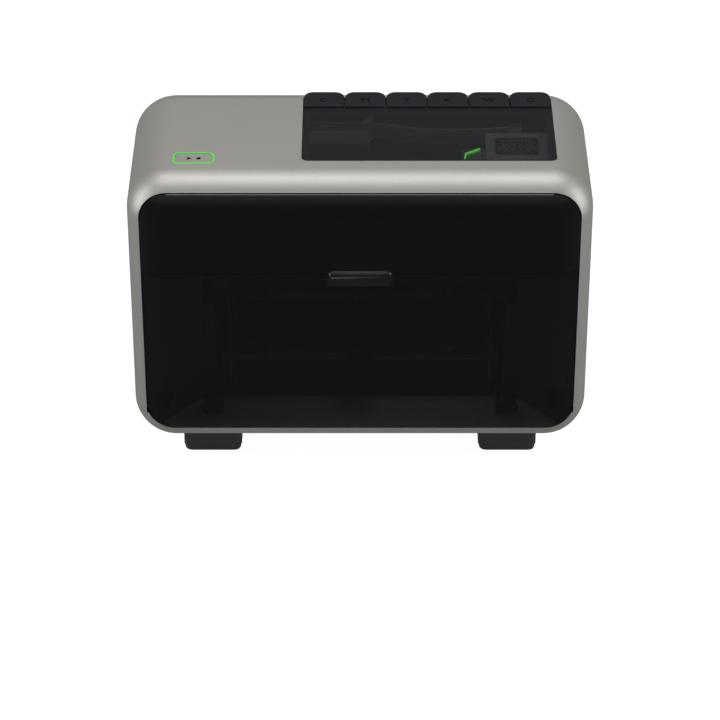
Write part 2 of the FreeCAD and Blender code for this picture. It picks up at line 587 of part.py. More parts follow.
# ---------------------------------------------------------------- top window and ink
def top_window():
    node("top_window", pillow(0).cut(pillow(SHELL_WALL)).common(top_opening(0, WINDOW_Y1)))
    slab = box(WINDOW_X0 - 10, WINDOW_X1 + 10, WINDOW_Y0 - 10, PORT_BACK + 10,
               FRAME_SLAB_Z0, TOP - SHELL_WALL - 0.3)
    view = rounded_box(WINDOW_X0 + 8, WINDOW_X1 - 8, WINDOW_Y0 + 8, WINDOW_Y1 - 8, TOP - 73, TOP, 5)
    ports = [tank_block(i, TANK_GAP, TOP - 73, TOP) for i in range(len(CARTRIDGES))]
    slab = slab.common(pillow(SHELL_WALL + SEAT_GAP))
    node("window_frame", cut(slab, view, *ports))


def grip_middle(i):
    return WINDOW_X0 + GRIP_PITCH * (i + 0.5)


def tank_block(i, grow, z0, z1):
    x = grip_middle(i)
    return box(x - TANK_WIDTH / 2 - grow, x + TANK_WIDTH / 2 + grow,
               TANK_Y0 - grow, TANK_Y0 + TANK_DEPTH + grow, z0, z1)


def cartridges():
    over_shell = pillow(-OPENING_GAP)
    for i, ink in enumerate(CARTRIDGES):
        x = grip_middle(i)
        half = (GRIP_PITCH - GRIP_GAP) / 2
        plan = box(x - half, x + half, WINDOW_Y1 + OPENING_GAP, GRIP_BACK, TOP - 12, TOP + GRIP_PROUD)
        plan = rounded(plan, GRIP_CORNER_R, lambda e: runs_along(e, "Z") and e.CenterOfMass.y > WINDOW_Y1 + 5)
        in_port = box(x - half, x + half, WINDOW_Y1, PORT_BACK - 0.4, TANK_TOP, TOP + 5)
        lip = plan.cut(over_shell)
        grip = fuse(plan.common(in_port), lip)
        grip = rounded(grip, 0.8, lambda e: abs(e.BoundBox.ZMin - (TOP + GRIP_PROUD)) < 1e-4)
        tank = tank_block(i, 0, TANK_BOTTOM, TANK_TOP)
        tank = rounded(tank, 2.0, lambda e: runs_along(e, "Z"))
        outlet = rod(OUTLET_R, (x, TANK_Y0 + TANK_DEPTH / 2, TANK_BOTTOM - 2), 2, (0, 0, 1))
        node(f"cartridge_{ink}", fuse(tank, outlet), grip)


def ink_supply():
    x0, x1 = WINDOW_X0 - 3, WINDOW_X1 + 3
    wall = 2.4
    y0, y1 = TANK_Y0 - TANK_GAP - wall, TANK_Y0 + TANK_DEPTH + TANK_GAP + wall
    floor = TANK_BOTTOM - 0.2
    body = box(x0, x1, y0, y1, floor - 4, floor + 60)
    pockets = [tank_block(i, TANK_GAP, floor, floor + 80) for i in range(TUBES)]
    outlets = [rod(OUTLET_R + 0.4, (grip_middle(i), TANK_Y0 + TANK_DEPTH / 2, floor - 5), 8, (0, 0, 1))
               for i in range(TUBES)]
    ribs = [box(x - 3, x + 3, y1, REAR_WALL_Y, floor - 4, floor + 40)
            for x in (x0 + 8, (x0 + x1) / 2, x1 - 8)]
    manifold = box(x0 + 2, x1 - 2, y0 + 3, y1 - 3, floor - 22, floor - 4)
    domes = [rod(8.5, (grip_middle(i), y0 + 3.1, floor - 13), 5, (0, -1, 0)) for i in range(TUBES)]
    node("ink_bay", cut(fuse(body, *ribs), *pockets, *outlets), fuse(manifold, *domes))
    return x0, y1, floor


def bent_tube(points, radius, bend):
    """A round tube along straight runs joined by arcs of one radius."""
    edges, start = [], V(*points[0])
    for before, corner, after in zip(points, points[1:], points[2:]):
        before, corner, after = V(*before), V(*corner), V(*after)
        back, on = (before - corner).normalize(), (after - corner).normalize()
        reach = bend / math.tan((back.getAngle(on)) / 2)
        first, last = corner + back * reach, corner + on * reach
        middle = corner + (back + on).normalize() * (bend / math.sin(back.getAngle(on) / 2) - bend)
        edges += [Part.LineSegment(start, first).toShape(), Part.Arc(first, middle, last).toShape()]
        start = last
    edges.append(Part.LineSegment(start, V(*points[-1])).toShape())
    path = Part.Wire(edges)
    direction = V(*points[1]) - V(*points[0])
    section = Part.Wire(Part.makeCircle(radius, V(*points[0]), direction))
    return path.makePipeShell([section], True, False)


def ink_tubes():
    """Six tubes from the manifold round the end of the ink bay to the anchor over the beam."""
    x0, y1, floor = ink_supply()
    side_x = x0 - 30
    low = floor - 24
    runs = []
    for i in range(TUBES):
        d = TUBE_STEP * i
        side, back, upper = side_x + d, y1 + 5, ANCHOR_Z + d
        path = [(x0 + 2.0, back, low + d), (side, back, low + d), (side, back, upper),
                (side, ANCHOR_Y, upper), (ANCHOR_X - 6, ANCHOR_Y, upper)]
        runs.append(bent_tube(path, TUBE_R, 7.0))
    joint = box(x0 + 2, x0 + 14, y1 - 3, y1 + 9, low - 2.5, floor - 4.05)
    top = ANCHOR_Z + TUBE_STEP * TUBES
    anchor = box(ANCHOR_X - 6, ANCHOR_X + 6, ANCHOR_Y - 4, ANCHOR_Y + 4, ANCHOR_Z - 3, top)
    hanger = box(ANCHOR_X - 6, ANCHOR_X + 6, ANCHOR_Y - 1, ANCHOR_Y + 4, top - 1, FRAME_SLAB_Z0)
    tongue = box(ANCHOR_X - 6, ANCHOR_X + 6, ANCHOR_Y - 1, WINDOW_Y1 - 1, FRAME_SLAB_Z0 - 3, FRAME_SLAB_Z0)
    node("ink_tubes", *runs, joint, fuse(anchor, hanger, tongue))
    # the loose ends start inside their holders and are trimmed flush with them
    between = box(ANCHOR_X + 6, CARRIAGE_END_X, BEAM_Y0 - 40, BEAM_Y1 + 40, BEAM_Z1, TOP)
    loose = []
    for i in range(TUBES):
        z = ANCHOR_Z + TUBE_STEP * i
        a, b = V(ANCHOR_X + 5, ANCHOR_Y, z), V(CARRIAGE_END_X + 1, PLUG_Y, z)
        arc = Part.Arc(a, V((a.x + b.x) / 2, (a.y + b.y) / 2, z - TUBE_SAG), b).toShape()
        section = Part.Wire(Part.makeCircle(TUBE_R, a, arc.tangentAt(arc.FirstParameter)))
        loose.append(Part.Wire([arc]).makePipeShell([section], True, False).common(between))
    node("carriage_tubes", *loose)


# ---------------------------------------------------------------- start button
def start_button():
    ring_top, ring_foot = TOP, TOP - SHELL_WALL
    ring = button_block(RING_W, ring_foot - 2, ring_top)
    flange = button_block(RING_W + 3, ring_foot - 2, ring_foot - SEAT_GAP)
    node("button_light_ring", fuse(ring, flange).cut(button_block(FIT_GAP, TOP - 10, TOP + 5)))
    cap_top = TOP - BUTTON_SUNK
    cap = button_block(0, cap_top - 4, cap_top)
    cap = rounded(cap, 0.5, lambda e: abs(e.BoundBox.ZMin - cap_top) < 1e-4)
    plunger = rod(2.5, (BUTTON_X, BUTTON_Y, cap_top - 6.6), 3, (0, 0, 1))
    node("start_button", fuse(cap, plunger))
    board_z = ring_foot - 10
    board = rounded_box(BUTTON_X - 24, BUTTON_X + 24, BUTTON_Y - 13, BUTTON_Y + 13,
                        board_z, board_z + BOARD_T, 2)
    stilts = [rod(1.6, (BUTTON_X + sx * 21.5, BUTTON_Y + sy * 11, board_z + BOARD_T), 6.35, (0, 0, 1))
              for sx in (-1, 1) for sy in (-1, 1)]
    switch = box(BUTTON_X - 3, BUTTON_X + 3, BUTTON_Y - 3, BUTTON_Y + 3, board_z + BOARD_T, cap_top - 7.8)
    return board, switch, *stilts


# ---------------------------------------------------------------- gantry and carriage
def gantry():
    end = FRAME_X - 0.1
    beam = box(-end, end, BEAM_Y0, BEAM_Y1, BEAM_Z0, BEAM_Z1)
    cores = [box(-end - 1, end + 1, BEAM_Y0 + 2, BEAM_Y1 - 2, z0, z0 + 18)
             for z0 in (BEAM_Z0 + 2.5, BEAM_Z1 - 20.5)]
    y0, y1 = BEAM_Y0 - RAIL_DEPTH, BEAM_Y0
    waist = 1.6
    rail_points = [(y1, RAIL_Z0), (y1 - 2, RAIL_Z0), (y1 - 3.2, RAIL_Z0 + waist), (y1 - 4.6, RAIL_Z0 + waist),
                   (y1 - 5.8, RAIL_Z0), (y0, RAIL_Z0), (y0, RAIL_Z1), (y1 - 5.8, RAIL_Z1),
                   (y1 - 4.6, RAIL_Z1 - waist), (y1 - 3.2, RAIL_Z1 - waist), (y1 - 2, RAIL_Z1), (y1, RAIL_Z1)]
    node("guide_rail", profile_x(rail_points, -FRAME_X + 6, FRAME_X - 6))
    node("gantry_beam", cut(beam, *cores), *belt_brackets())
    return rail_points


def belt_brackets():
    """The motor's plate and the idler's fork, both standing on the beam."""
    x, half = -PULLEY_X, 19.0
    plate = box(x - half, x + half, BELT_Y1 + 2, MOTOR_FACE_Y - 0.05, BEAM_Z1, PULLEY_Z + BELT_MOTOR / 2)
    foot = box(x - half, x + half, BEAM_Y0 + 8, MOTOR_FACE_Y - 0.05, BEAM_Z1, BEAM_Z1 + 3)
    motor_plate = fuse(plate, foot).cut(rod(8, (x, BEAM_Y0 - 4, PULLEY_Z), 40, (0, 1, 0)))
    x, half = PULLEY_X, 12.0
    back = box(x - half, x + half, BELT_Y1 + 2.4, BEAM_Y1, BEAM_Z1, PULLEY_Z + 14)
    front = box(x - half, x + half, BEAM_Y0 - 3, BEAM_Y0, BEAM_Z1, PULLEY_Z + 14)
    sill = box(x - half, x + half, BEAM_Y0, BEAM_Y1, BEAM_Z1, BEAM_Z1 + 3)
    axle = rod(SHAFT_R, (x, BEAM_Y0 - 3, PULLEY_Z), BEAM_Y1 - BEAM_Y0 + 3, (0, 1, 0))
    return motor_plate, fuse(back, front, sill, axle)


def belt_drive():
    inner, outer = BELT_INNER_R, BELT_INNER_R + BELT_T

    def loop(radius):
        return fuse(rod(radius, (-PULLEY_X, BELT_Y0, PULLEY_Z), BELT_Y1 - BELT_Y0, (0, 1, 0)),
                    rod(radius, (PULLEY_X, BELT_Y0, PULLEY_Z), BELT_Y1 - BELT_Y0, (0, 1, 0)),
                    box(-PULLEY_X, PULLEY_X, BELT_Y0, BELT_Y1, PULLEY_Z - radius, PULLEY_Z + radius))

    node("carriage_belt", loop(outer).cut(loop(inner)))
    for name, x in (("motor_pulley", -PULLEY_X), ("idler_pulley", PULLEY_X)):
        drum = rod(PULLEY_R, (x, BELT_Y0 - 1.6, PULLEY_Z), BELT_Y1 - BELT_Y0 + 3.2, (0, 1, 0))
        rims = [rod(PULLEY_R + 2.6, (x, y, PULLEY_Z), 1.2, (0, 1, 0)) for y in (BELT_Y0 - 1.6, BELT_Y1 + 0.4)]
        angles = [2 * math.pi * k / PULLEY_TEETH for k in range(PULLEY_TEETH)]
        spots = [(x + PULLEY_R * math.cos(a), BELT_Y0 - 0.4, PULLEY_Z + PULLEY_R * math.sin(a))
                 for a in angles]
        teeth = [rod(TOOTH_R, spot, BELT_W + 0.8, (0, 1, 0)) for spot in spots]
        bore = rod(SHAFT_R + RUN_GAP, (x, BELT_Y0 - 16, PULLEY_Z), 40, (0, 1, 0))
        node(name, cut(fuse(drum, *rims), bore, *teeth))
    x, half = -PULLEY_X, BELT_MOTOR / 2
    block = rounded_box(x - half, x + half, MOTOR_FACE_Y, MOTOR_FACE_Y + 34, PULLEY_Z - half, PULLEY_Z + half,
                        4, "Y")
    shaft = rod(SHAFT_R, (x, BELT_Y0 - 2, PULLEY_Z), MOTOR_FACE_Y - BELT_Y0 + 2, (0, 1, 0))
    node("carriage_motor", fuse(block, shaft))


def carriage(rail_points):
    x0, x1 = CARRIAGE_X - CARRIAGE_HALF, CARRIAGE_X + CARRIAGE_HALF
    # bearing block round the rail, with 0.1 mm of play on every face
    play = 0.1
    block = box(x0 + 6, x1 - 6, BEAM_Y0 - RAIL_DEPTH - 2.5, BEAM_Y0 - 1, RAIL_Z0 - 8, RAIL_Z1 + 8)
    middle = (RAIL_Z0 + RAIL_Z1) / 2
    wider = [(y, z + math.copysign(play, z - middle)) for y, z in rail_points]
    front_y = BEAM_Y0 - RAIL_DEPTH
    wider = [(y - play if abs(y - front_y) < 1e-6 else y, z) for y, z in wider]
    slot = profile_x(wider, x0, x1)
    node("bearing_block", block.cut(slot))
    plate_y1 = BEAM_Y0 - RAIL_DEPTH - 2.5
    shelf_z = NOZZLE_Z + HEAD_HEIGHT
    plate = box(x0 + 3, x1 - 3, plate_y1 - 4, plate_y1, shelf_z, BEAM_Z1 + 6)
    shelf = box(x0 + 3, x1 - 3, CARRIAGE_Y0 + 8, plate_y1 - 4, shelf_z, shelf_z + 4)
    head_hole = box(HEAD_X0 + 2, HEAD_X1 - 2, CARRIAGE_Y0 + 12, plate_y1 - 10, shelf_z - 6, shelf_z + 9)
    frame = fuse(plate, shelf).cut(head_hole)
    # cover: closed on the front, sides and top, open below and behind, with a rear overhang over the beam
    w = COVER_WALL
    outer = box(x0, x1, CARRIAGE_Y0, plate_y1 - 4.2, NOZZLE_Z + 14, CARRIAGE_TOP)
    hang = box(x0, x1, plate_y1 - 8, CARRIAGE_Y1, BEAM_Z1 + 12, CARRIAGE_TOP)
    outer = fuse(outer, hang)
    outer = rounded(outer, 6, lambda e: runs_along(e, "Z") and e.CenterOfMass.y < CARRIAGE_Y0 + 1)
    hollow = fuse(box(x0 + w, x1 - w, CARRIAGE_Y0 + w, plate_y1 + 20, NOZZLE_Z, BEAM_Z1 + 13),
                  box(x0 + w, x1 - w, CARRIAGE_Y0 + w, CARRIAGE_Y1 - w, BEAM_Z1 + 10, CARRIAGE_TOP - w))
    node("carriage_cover", outer.cut(hollow))
    head = box(HEAD_X0, HEAD_X1, CARRIAGE_Y0 + 10, plate_y1 - 8, NOZZLE_Z + 2, shelf_z)
    face = box(HEAD_X0 + 3, HEAD_X1 - 3, CARRIAGE_Y0 + 13, plate_y1 - 11, NOZZLE_Z, NOZZLE_Z + 2)
    dampers = []
    pitch = (HEAD_X1 - HEAD_X0 - 6) / TUBES
    for i in range(TUBES):
        dx = HEAD_X0 + 3 + pitch * i
        dampers.append(box(dx + FIT_GAP, dx + pitch - FIT_GAP, CARRIAGE_Y0 + 13, plate_y1 - 12,
                           shelf_z, shelf_z + 32))
    node("print_head", fuse(head, face), *dampers)
    lamps = [box(x0 + w + 0.2, HEAD_X0 - 2, CARRIAGE_Y0 + 8, plate_y1 - 8, NOZZLE_Z + 6, shelf_z - 0.1),
             box(HEAD_X1 + 2, x1 - w - 0.2, CARRIAGE_Y0 + 8, plate_y1 - 8, NOZZLE_Z + 6, shelf_z - 0.1)]
    node("uv_lamps", *lamps)
    laser = box(x0 - 22, x0 - 0.05, CARRIAGE_Y0 + 4, CARRIAGE_Y0 + 26, CARRIAGE_TOP - 24, CARRIAGE_TOP - 4)
    lens = rod(4, (x0 - 11, CARRIAGE_Y0 + 15, CARRIAGE_TOP - 26), 2, (0, 0, 1))
    top_run = PULLEY_Z + BELT_INNER_R
    leg = box(CARRIAGE_X - 9, CARRIAGE_X + 9, CARRIAGE_Y1 + 0.2, BEAM_Y0 - 1, RAIL_Z1 + 8, top_run + 5)
    jaw = box(CARRIAGE_X - 9, CARRIAGE_X + 9, BEAM_Y0 - 1, BELT_Y1 + 1.5, top_run - 4, top_run + 5)
    belt_room = box(0, WIDTH, BELT_Y0 - 0.3, BELT_Y1 + 0.3, top_run - 0.3, top_run + BELT_T + 0.3)
    clamp = fuse(leg, jaw).cut(belt_room)
    stop = ANCHOR_Z + TUBE_STEP * TUBES
    plug = box(CARRIAGE_END_X, CARRIAGE_END_X + 12, CARRIAGE_Y1 + 0.05, PLUG_Y + 4, ANCHOR_Z - 3, stop)
    node("carriage_frame", frame, clamp, plug, fuse(laser, lens))


def camera_module():
    x0, x1 = WINDOW_X0 + 8, WINDOW_X0 + 8 + CAMERA_W
    body = box(x0, x1, CAMERA_FRONT, CAMERA_FRONT + CAMERA_D, TOP - SHELL_WALL - 14, TOP - SHELL_WALL - 0.5)
    body = rounded(body, 2, lambda e: runs_along(e, "Z") and e.CenterOfMass.x > x0 + 1)
    lens = tube(6, 3.5, (x0 + 37, CAMERA_FRONT + CAMERA_D / 2, TOP - SHELL_WALL - 16), 2.5, (0, 0, 1))
    node("camera_module", fuse(body, lens))


def cap_station():
    x0, x1 = CHAMBER_HALF + LINER_WALL + 1, FRAME_X - 0.1
    shelf_z = NOZZLE_Z - 19.0
    y0 = CARRIAGE_Y0 + 6
    y1 = y0 + 58
    shelf = box(x0, x1, y0, y1, shelf_z, shelf_z + 2)
    flange = box(x1 - 2, x1, y0, y1, shelf_z - 20, shelf_z)
    tub = box(HEAD_X0 + 3, HEAD_X1 + 1, y0 + 2, y1 - 4, shelf_z + 2, shelf_z + 9)
    tub = tub.cut(box(HEAD_X0 + 5, HEAD_X1 - 1, y0 + 4, y1 - 6, shelf_z + 2, shelf_z + 20))
    holder = box(HEAD_X1 + 6, HEAD_X1 + 12, y0 + 4, y1 - 6, shelf_z + 2, shelf_z + 12)
    wiper = box(HEAD_X1 + 8, HEAD_X1 + 10, y0 + 6, y1 - 8, shelf_z + 12, NOZZLE_Z - 0.4)
    node("cap_station", fuse(shelf, flange, tub, holder), wiper)
    inner = box(HEAD_X0 + 5.4, HEAD_X1 - 1.4, y0 + 4.4, y1 - 6.4, shelf_z + 8, NOZZLE_Z - 4)
    lips = rounded_box(HEAD_X0 + 6, HEAD_X1 - 2, y0 + 5, y1 - 7, NOZZLE_Z - 4, NOZZLE_Z - 0.3, 3)
    well = rounded_box(HEAD_X0 + 8, HEAD_X1 - 4, y0 + 7, y1 - 9, NOZZLE_Z - 8, NOZZLE_Z + 5, 2)
    node("cap_block", fuse(inner, lips).cut(well))


# ---------------------------------------------------------------- lift and bed
def lift():
    frame = box(-LIFT_HALF, LIFT_HALF, LIFT_Y0, LIFT_Y1, LIFT_Z0, LIFT_Z1)
    middle = RAIL_ROD_X + BEARING_HALF + 2
    frame = frame.cut(box(-middle, middle, LIFT_Y0 + LIFT_RIM, LIFT_Y1 - LIFT_RIM, 0, TOP))
    frame = frame.cut(box(-LIFT_HALF + 24, LIFT_HALF - 24, LIFT_Y0 + 30, LIFT_Y1 - 34, 0, TOP))
    webs = []
    for x in (-RAIL_ROD_X, RAIL_ROD_X):
        webs += [box(x - 7, x + 7, y, y + LIFT_RIM, LIFT_Z0, RAIL_ROD_Z + SCREW_R + 1)
                 for y in (LIFT_Y0, LIFT_Y1 - LIFT_RIM)]
    screw_blocks = [box(-NUT_R, NUT_R, y, y + LIFT_RIM, BED_AXIS_Z - 8, LIFT_Z1)
                    for y in (LIFT_Y0, LIFT_Y1 - LIFT_RIM)]
    screw_holes = [rod(SCREW_R + 0.5, (x, SCREW_Y, 0), TOP, (0, 0, 1)) for x in (-POST_X, POST_X)]
    bush_holes = [rod(BUSH_R + RUN_GAP, (x, ROD_Y, 0), TOP, (0, 0, 1)) for x in (-POST_X, POST_X)]
    rail_holes = [rod(SCREW_R + RUN_GAP, (x, LIFT_Y0 + 2, RAIL_ROD_Z), LIFT_Y1 - LIFT_Y0 - 4, (0, 1, 0))
                  for x in (-RAIL_ROD_X, RAIL_ROD_X)]
    bed_screw_hole = rod(SCREW_R + RUN_GAP, (0, LIFT_Y0 - 1, BED_AXIS_Z), LIFT_Y1 - LIFT_Y0 - 1, (0, 1, 0))
    body = fuse(frame, *webs, *screw_blocks)
    body = cut(body, *screw_holes, *bush_holes, *rail_holes, bed_screw_hole)
    nuts = [tube(NUT_R, SCREW_R + RUN_GAP, (x, SCREW_Y, LIFT_Z0 - 8), 8, (0, 0, 1))
            for x in (-POST_X, POST_X)]
    bushes = [tube(BUSH_R, SCREW_R + RUN_GAP, (x, ROD_Y, LIFT_Z0 - 8), BUSH_LENGTH, (0, 0, 1))
              for x in (-POST_X, POST_X)]
    rails = [rod(SCREW_R, (x, LIFT_Y0 + 3, RAIL_ROD_Z), LIFT_Y1 - LIFT_Y0 - 6, (0, 1, 0))
             for x in (-RAIL_ROD_X, RAIL_ROD_X)]
    node("lift_frame", body, *nuts, *bushes, *rails)
    z0, z1 = BASE_Z + PLATE, WALL_TOP + 3
    rods = [rod(SCREW_R, (x, ROD_Y, z0), z1 - z0, (0, 0, 1)) for x in (-POST_X, POST_X)]
    motors = []
    for x in (-POST_X, POST_X):
        half = MOTOR_SIDE / 2 - 0.5
        motors.append(rounded_box(x - half, x + half, SCREW_Y - half, SCREW_Y + half, z0, z0 + 32, 3))
    node("lift_motors", *motors)
    for name, x in (("lead_screw_left", -POST_X), ("lead_screw_right", POST_X)):
        node(name, rod(SCREW_R, (x, SCREW_Y, z0 + 32.2), z1 - z0 - 32.2, (0, 0, 1)))
    top = box(POST_X - 8, CHAMBER_HALF + LINER_WALL, ROD_Y - 12, SCREW_Y + 12, WALL_TOP + 0.05, WALL_TOP + 4)
    bores = [rod(SCREW_R + RUN_GAP, (POST_X, y, 0), TOP, (0, 0, 1)) for y in (ROD_Y, SCREW_Y)]
    node("lift_guides", *rods, *both_sides(cut(top, *bores)))


def bed():
    plate = rounded_box(-BED_HALF, BED_HALF, -BED_DEPTH / 2, BED_DEPTH / 2, BED_Z0, BED_Z1, 6)
    grooves = [box(-BED_HALF + 12, BED_HALF - 12, y - 0.6, y + 0.6, BED_Z1 - 0.6, BED_Z1 + 1)
               for y in [BED_GROOVE_STEP * k for k in range(-BED_GROOVES, BED_GROOVES + 1)]]
    node("bed_plate", cut(plate, *grooves))
    bearings = []
    for x in (-RAIL_ROD_X, RAIL_ROD_X):
        block = box(x - BEARING_HALF, x + BEARING_HALF, BEARING_Y0, BEARING_Y1, RAIL_ROD_Z - 6, BED_Z0)
        bearings.append(block.cut(rod(SCREW_R + RUN_GAP, (x, 0, RAIL_ROD_Z), 60, (0, 1, 0))))
    block = box(-11, 11, 12, 28, BED_AXIS_Z - 8, BED_Z0)
    nut = block.cut(rod(SCREW_R + RUN_GAP, (0, 0, BED_AXIS_Z), 60, (0, 1, 0)))
    node("bed_bearings", *bearings, nut)
    node("bed_screw", rod(SCREW_R, (0, LIFT_Y0 + 0.3, BED_AXIS_Z), LIFT_Y1 - LIFT_Y0 - 6, (0, 1, 0)))
    half = MOTOR_SIDE / 2
    motor = rounded_box(-half, half, LIFT_Y0 - 28, LIFT_Y0, BED_AXIS_Z - half, BED_AXIS_Z + half, 3, "Y")
    node("bed_motor", motor)


# ---------------------------------------------------------------- electrics, air and waste
def cleaning_block(grow):
    return box(CLEAN_X0 - grow, CLEAN_X1 + grow, CLEAN_Y0 - grow, BACK + 1, CLEAN_Z0 - grow, CLEAN_Z1 + grow)


def cleaning():
    block = cleaning_block(0).common(pillow(0.3))
    ridge_x = (CLEAN_X0 + CLEAN_X1) / 2
    z0, z1 = CLEAN_Z0 + 30, CLEAN_Z1 - 30
    hollow = box(CLEAN_X0 + 3, CLEAN_X1 - 3, BACK - 9, BACK + 5, z0, z1)
    ridge = box(ridge_x - 1.5, ridge_x + 1.5, BACK - 9, BACK - 0.6, z0, z1)
    node("cleaning_cartridge", fuse(block.cut(hollow), ridge))
    x0, x1 = CLEAN_X0 - SLEEVE_WALL, CLEAN_X1 + SLEEVE_WALL
    z0, z1 = CLEAN_Z0 - SLEEVE_WALL, CLEAN_Z1 + SLEEVE_WALL
    sleeve = box(x0, x1, CLEAN_Y0 - 3, REAR_WALL_Y - 0.1, z0, z1)
    stand = box(x0, x1, 0, 60, BASE_Z + PLATE + SEAT_GAP, z0)
    node("cleaning_bay", cut(fuse(sleeve, stand), cleaning_block(0.4)))


def electrics():
    inner = BACK - SHELL_WALL
    x0, x1, z0, z1 = INLET_BOX
    body = box(x0 + FIT_GAP, x1 - FIT_GAP, inner - 22, BACK - 0.4, z0 + FIT_GAP, z1 - FIT_GAP)
    flange = box(x0 - 4, x1 + 4, inner - 3, inner - 0.4, z0 - 2, z1 + 2)
    socket = rounded_box(x0 + 3, x1 - 3, inner - 15, DEPTH, z0 + 3, z1 - 3, 2, "Y")
    blades = [box(x - 1, x + 1, inner - 15, inner - 2, z0 + 7, z0 + 13) for x in (x0 + 9, x0 + 14, x0 + 19)]
    inlet = fuse(cut(fuse(body, flange), socket), *blades)
    x0, x1, z0, z1 = SWITCH_BOX
    body = box(x0 + FIT_GAP, x1 - FIT_GAP, inner - 16, BACK - 0.4, z0 + FIT_GAP, z1 - FIT_GAP)
    flange = box(x0 - 2, x1 + 2, inner - 3, inner - 0.4, z0 - 2, z1 + 2)
    well = box(x0 + 1.5, x1 - 1.5, inner - 9, DEPTH, z0 + 1.5, z1 - 1.5)
    axle_x = (x0 + x1) / 2
    middle = (z0 + z1) / 2
    pin = rod(ROCKER_PIN_R, (x0 + 1, inner - 4, middle), x1 - x0 - 2, (1, 0, 0))
    node("power_inlet", inlet, fuse(cut(fuse(body, flange), well), pin))
    rocker = box(axle_x - 5, axle_x + 5, inner - 6.5, inner + 1.2, middle - 7.6, middle + 7.6)
    rocker = rounded(rocker, 1.0, lambda e: runs_along(e, "X"))
    rocker.rotate(V(axle_x, inner - 4, middle), V(1, 0, 0), ROCKER_TILT)
    node("power_rocker", rocker.cut(rod(ROCKER_PIN_R + RUN_GAP, (x0, inner - 4, middle), 30, (1, 0, 0))))
    # a metal-cased supply beside the chamber and the main board on the rear wall
    y0, y1 = APRON_BACK + 8, REAR_WALL_Y - 16
    supply = box(-FRAME_X + 1, -CHAMBER_HALF - 8, y0, y1, SUPPLY_Z, SUPPLY_Z + 78)
    vents = [box(-FRAME_X, -FRAME_X + 3, y0 + 10 + 8 * k, y0 + 13 + 8 * k, SUPPLY_Z + 15, SUPPLY_Z + 63)
             for k in range(int((y1 - y0 - 20) / 8) + 1)]
    shelf = box(-FRAME_X + 0.1, -CHAMBER_HALF - 6, y0, y1, SUPPLY_Z - 4, SUPPLY_Z - 0.1)
    node("power_supply", cut(supply, *vents), shelf)
    y = REAR_WALL_Y + 4
    low = POWER_Z0 + 6
    board = box(-60, 160, y, y + BOARD_T, low, low + 100)
    standoffs = [rod(3, (x, REAR_WALL_Y + 2, z), 2, (0, 1, 0))
                 for x in (-54, 154) for z in (low + 6, low + 94)]
    chips = [box(cx0, cx1, y + BOARD_T, y + tall, low + up0, low + up1) for cx0, cx1, tall, up0, up1 in CHIPS]
    ports = [box(px - w / 2 + FIT_GAP, px + w / 2 - FIT_GAP, y + BOARD_T, BACK - 0.5,
                 z - h / 2 + FIT_GAP, z + h / 2 - FIT_GAP).cut(
             box(px - w / 2 + 2, px + w / 2 - 2, BACK - 9, DEPTH, z - h / 2 + 2, z + h / 2 - 2))
             for px, z, w, h in PORTS]
    node("circuit_boards", board, *standoffs, *chips, *ports, *start_button())


def fan():
    y0, y1 = REAR_WALL_Y + 2.05, BACK - SHELL_WALL - 0.1
    frame = rounded_box(FAN_X - 30, FAN_X + 30, y0, y1, FAN_Z - 30, FAN_Z + 30, 4, "Y")
    frame = frame.cut(rod(28, (FAN_X, y0 - 1, FAN_Z), y1 - y0 + 2, (0, 1, 0)))
    spider = fuse(box(FAN_X - 28.5, FAN_X + 28.5, y0, y0 + 2, FAN_Z - 1.5, FAN_Z + 1.5),
                  box(FAN_X - 1.5, FAN_X + 1.5, y0, y0 + 2, FAN_Z - 28.5, FAN_Z + 28.5),
                  rod(9, (FAN_X, y0, FAN_Z), 2, (0, 1, 0)),
                  rod(FAN_PIN_R, (FAN_X, y0 + 2, FAN_Z), 8, (0, 1, 0)))
    node("fan_frame", fuse(frame, spider))
    hub = rod(10, (FAN_X, y0 + 3, FAN_Z), y1 - y0 - 5, (0, 1, 0))
    blades = []
    for k in range(FAN_BLADES):
        blade = box(FAN_X + 8, FAN_X + 27, y0 + 6.5, y0 + 8.3, FAN_Z - 6, FAN_Z + 6)
        blade.rotate(V(FAN_X, y0 + 7.4, FAN_Z), V(1, 0, 0), 30)
        blade.rotate(V(FAN_X, 0, FAN_Z), V(0, 1, 0), 360.0 * k / FAN_BLADES)
        blades.append(blade)
    bore = rod(FAN_PIN_R + RUN_GAP, (FAN_X, y0 + 2, FAN_Z), 8.2, (0, 1, 0))
    node("fan_rotor", fuse(hub, *blades).cut(bore))


outer_shell()
rear_panel()
front_panels()
front_frame()
door_hinges()
chamber()
frame_plates()
top_window()
cartridges()
ink_tubes()
carriage(gantry())
belt_drive()
camera_module()
cap_station()
lift()
bed()
cleaning()
electrics()
fan()
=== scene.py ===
# %% [markdown]
# # A desktop flatbed UV printer
#
# This lesson dresses a printer whose working parts are already settled: every panel, hinge, rail and
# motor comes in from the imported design, in metres, with its place in its mesh. Here those parts get
# their finishes, and the visible ones get the detail that a mechanical model leaves out: eased edges,
# marks on the button, letters on the grips, ink ports, a light guide, screw heads and hanging tubes.
#
# The design arrives first, and nothing in it is moved afterwards.

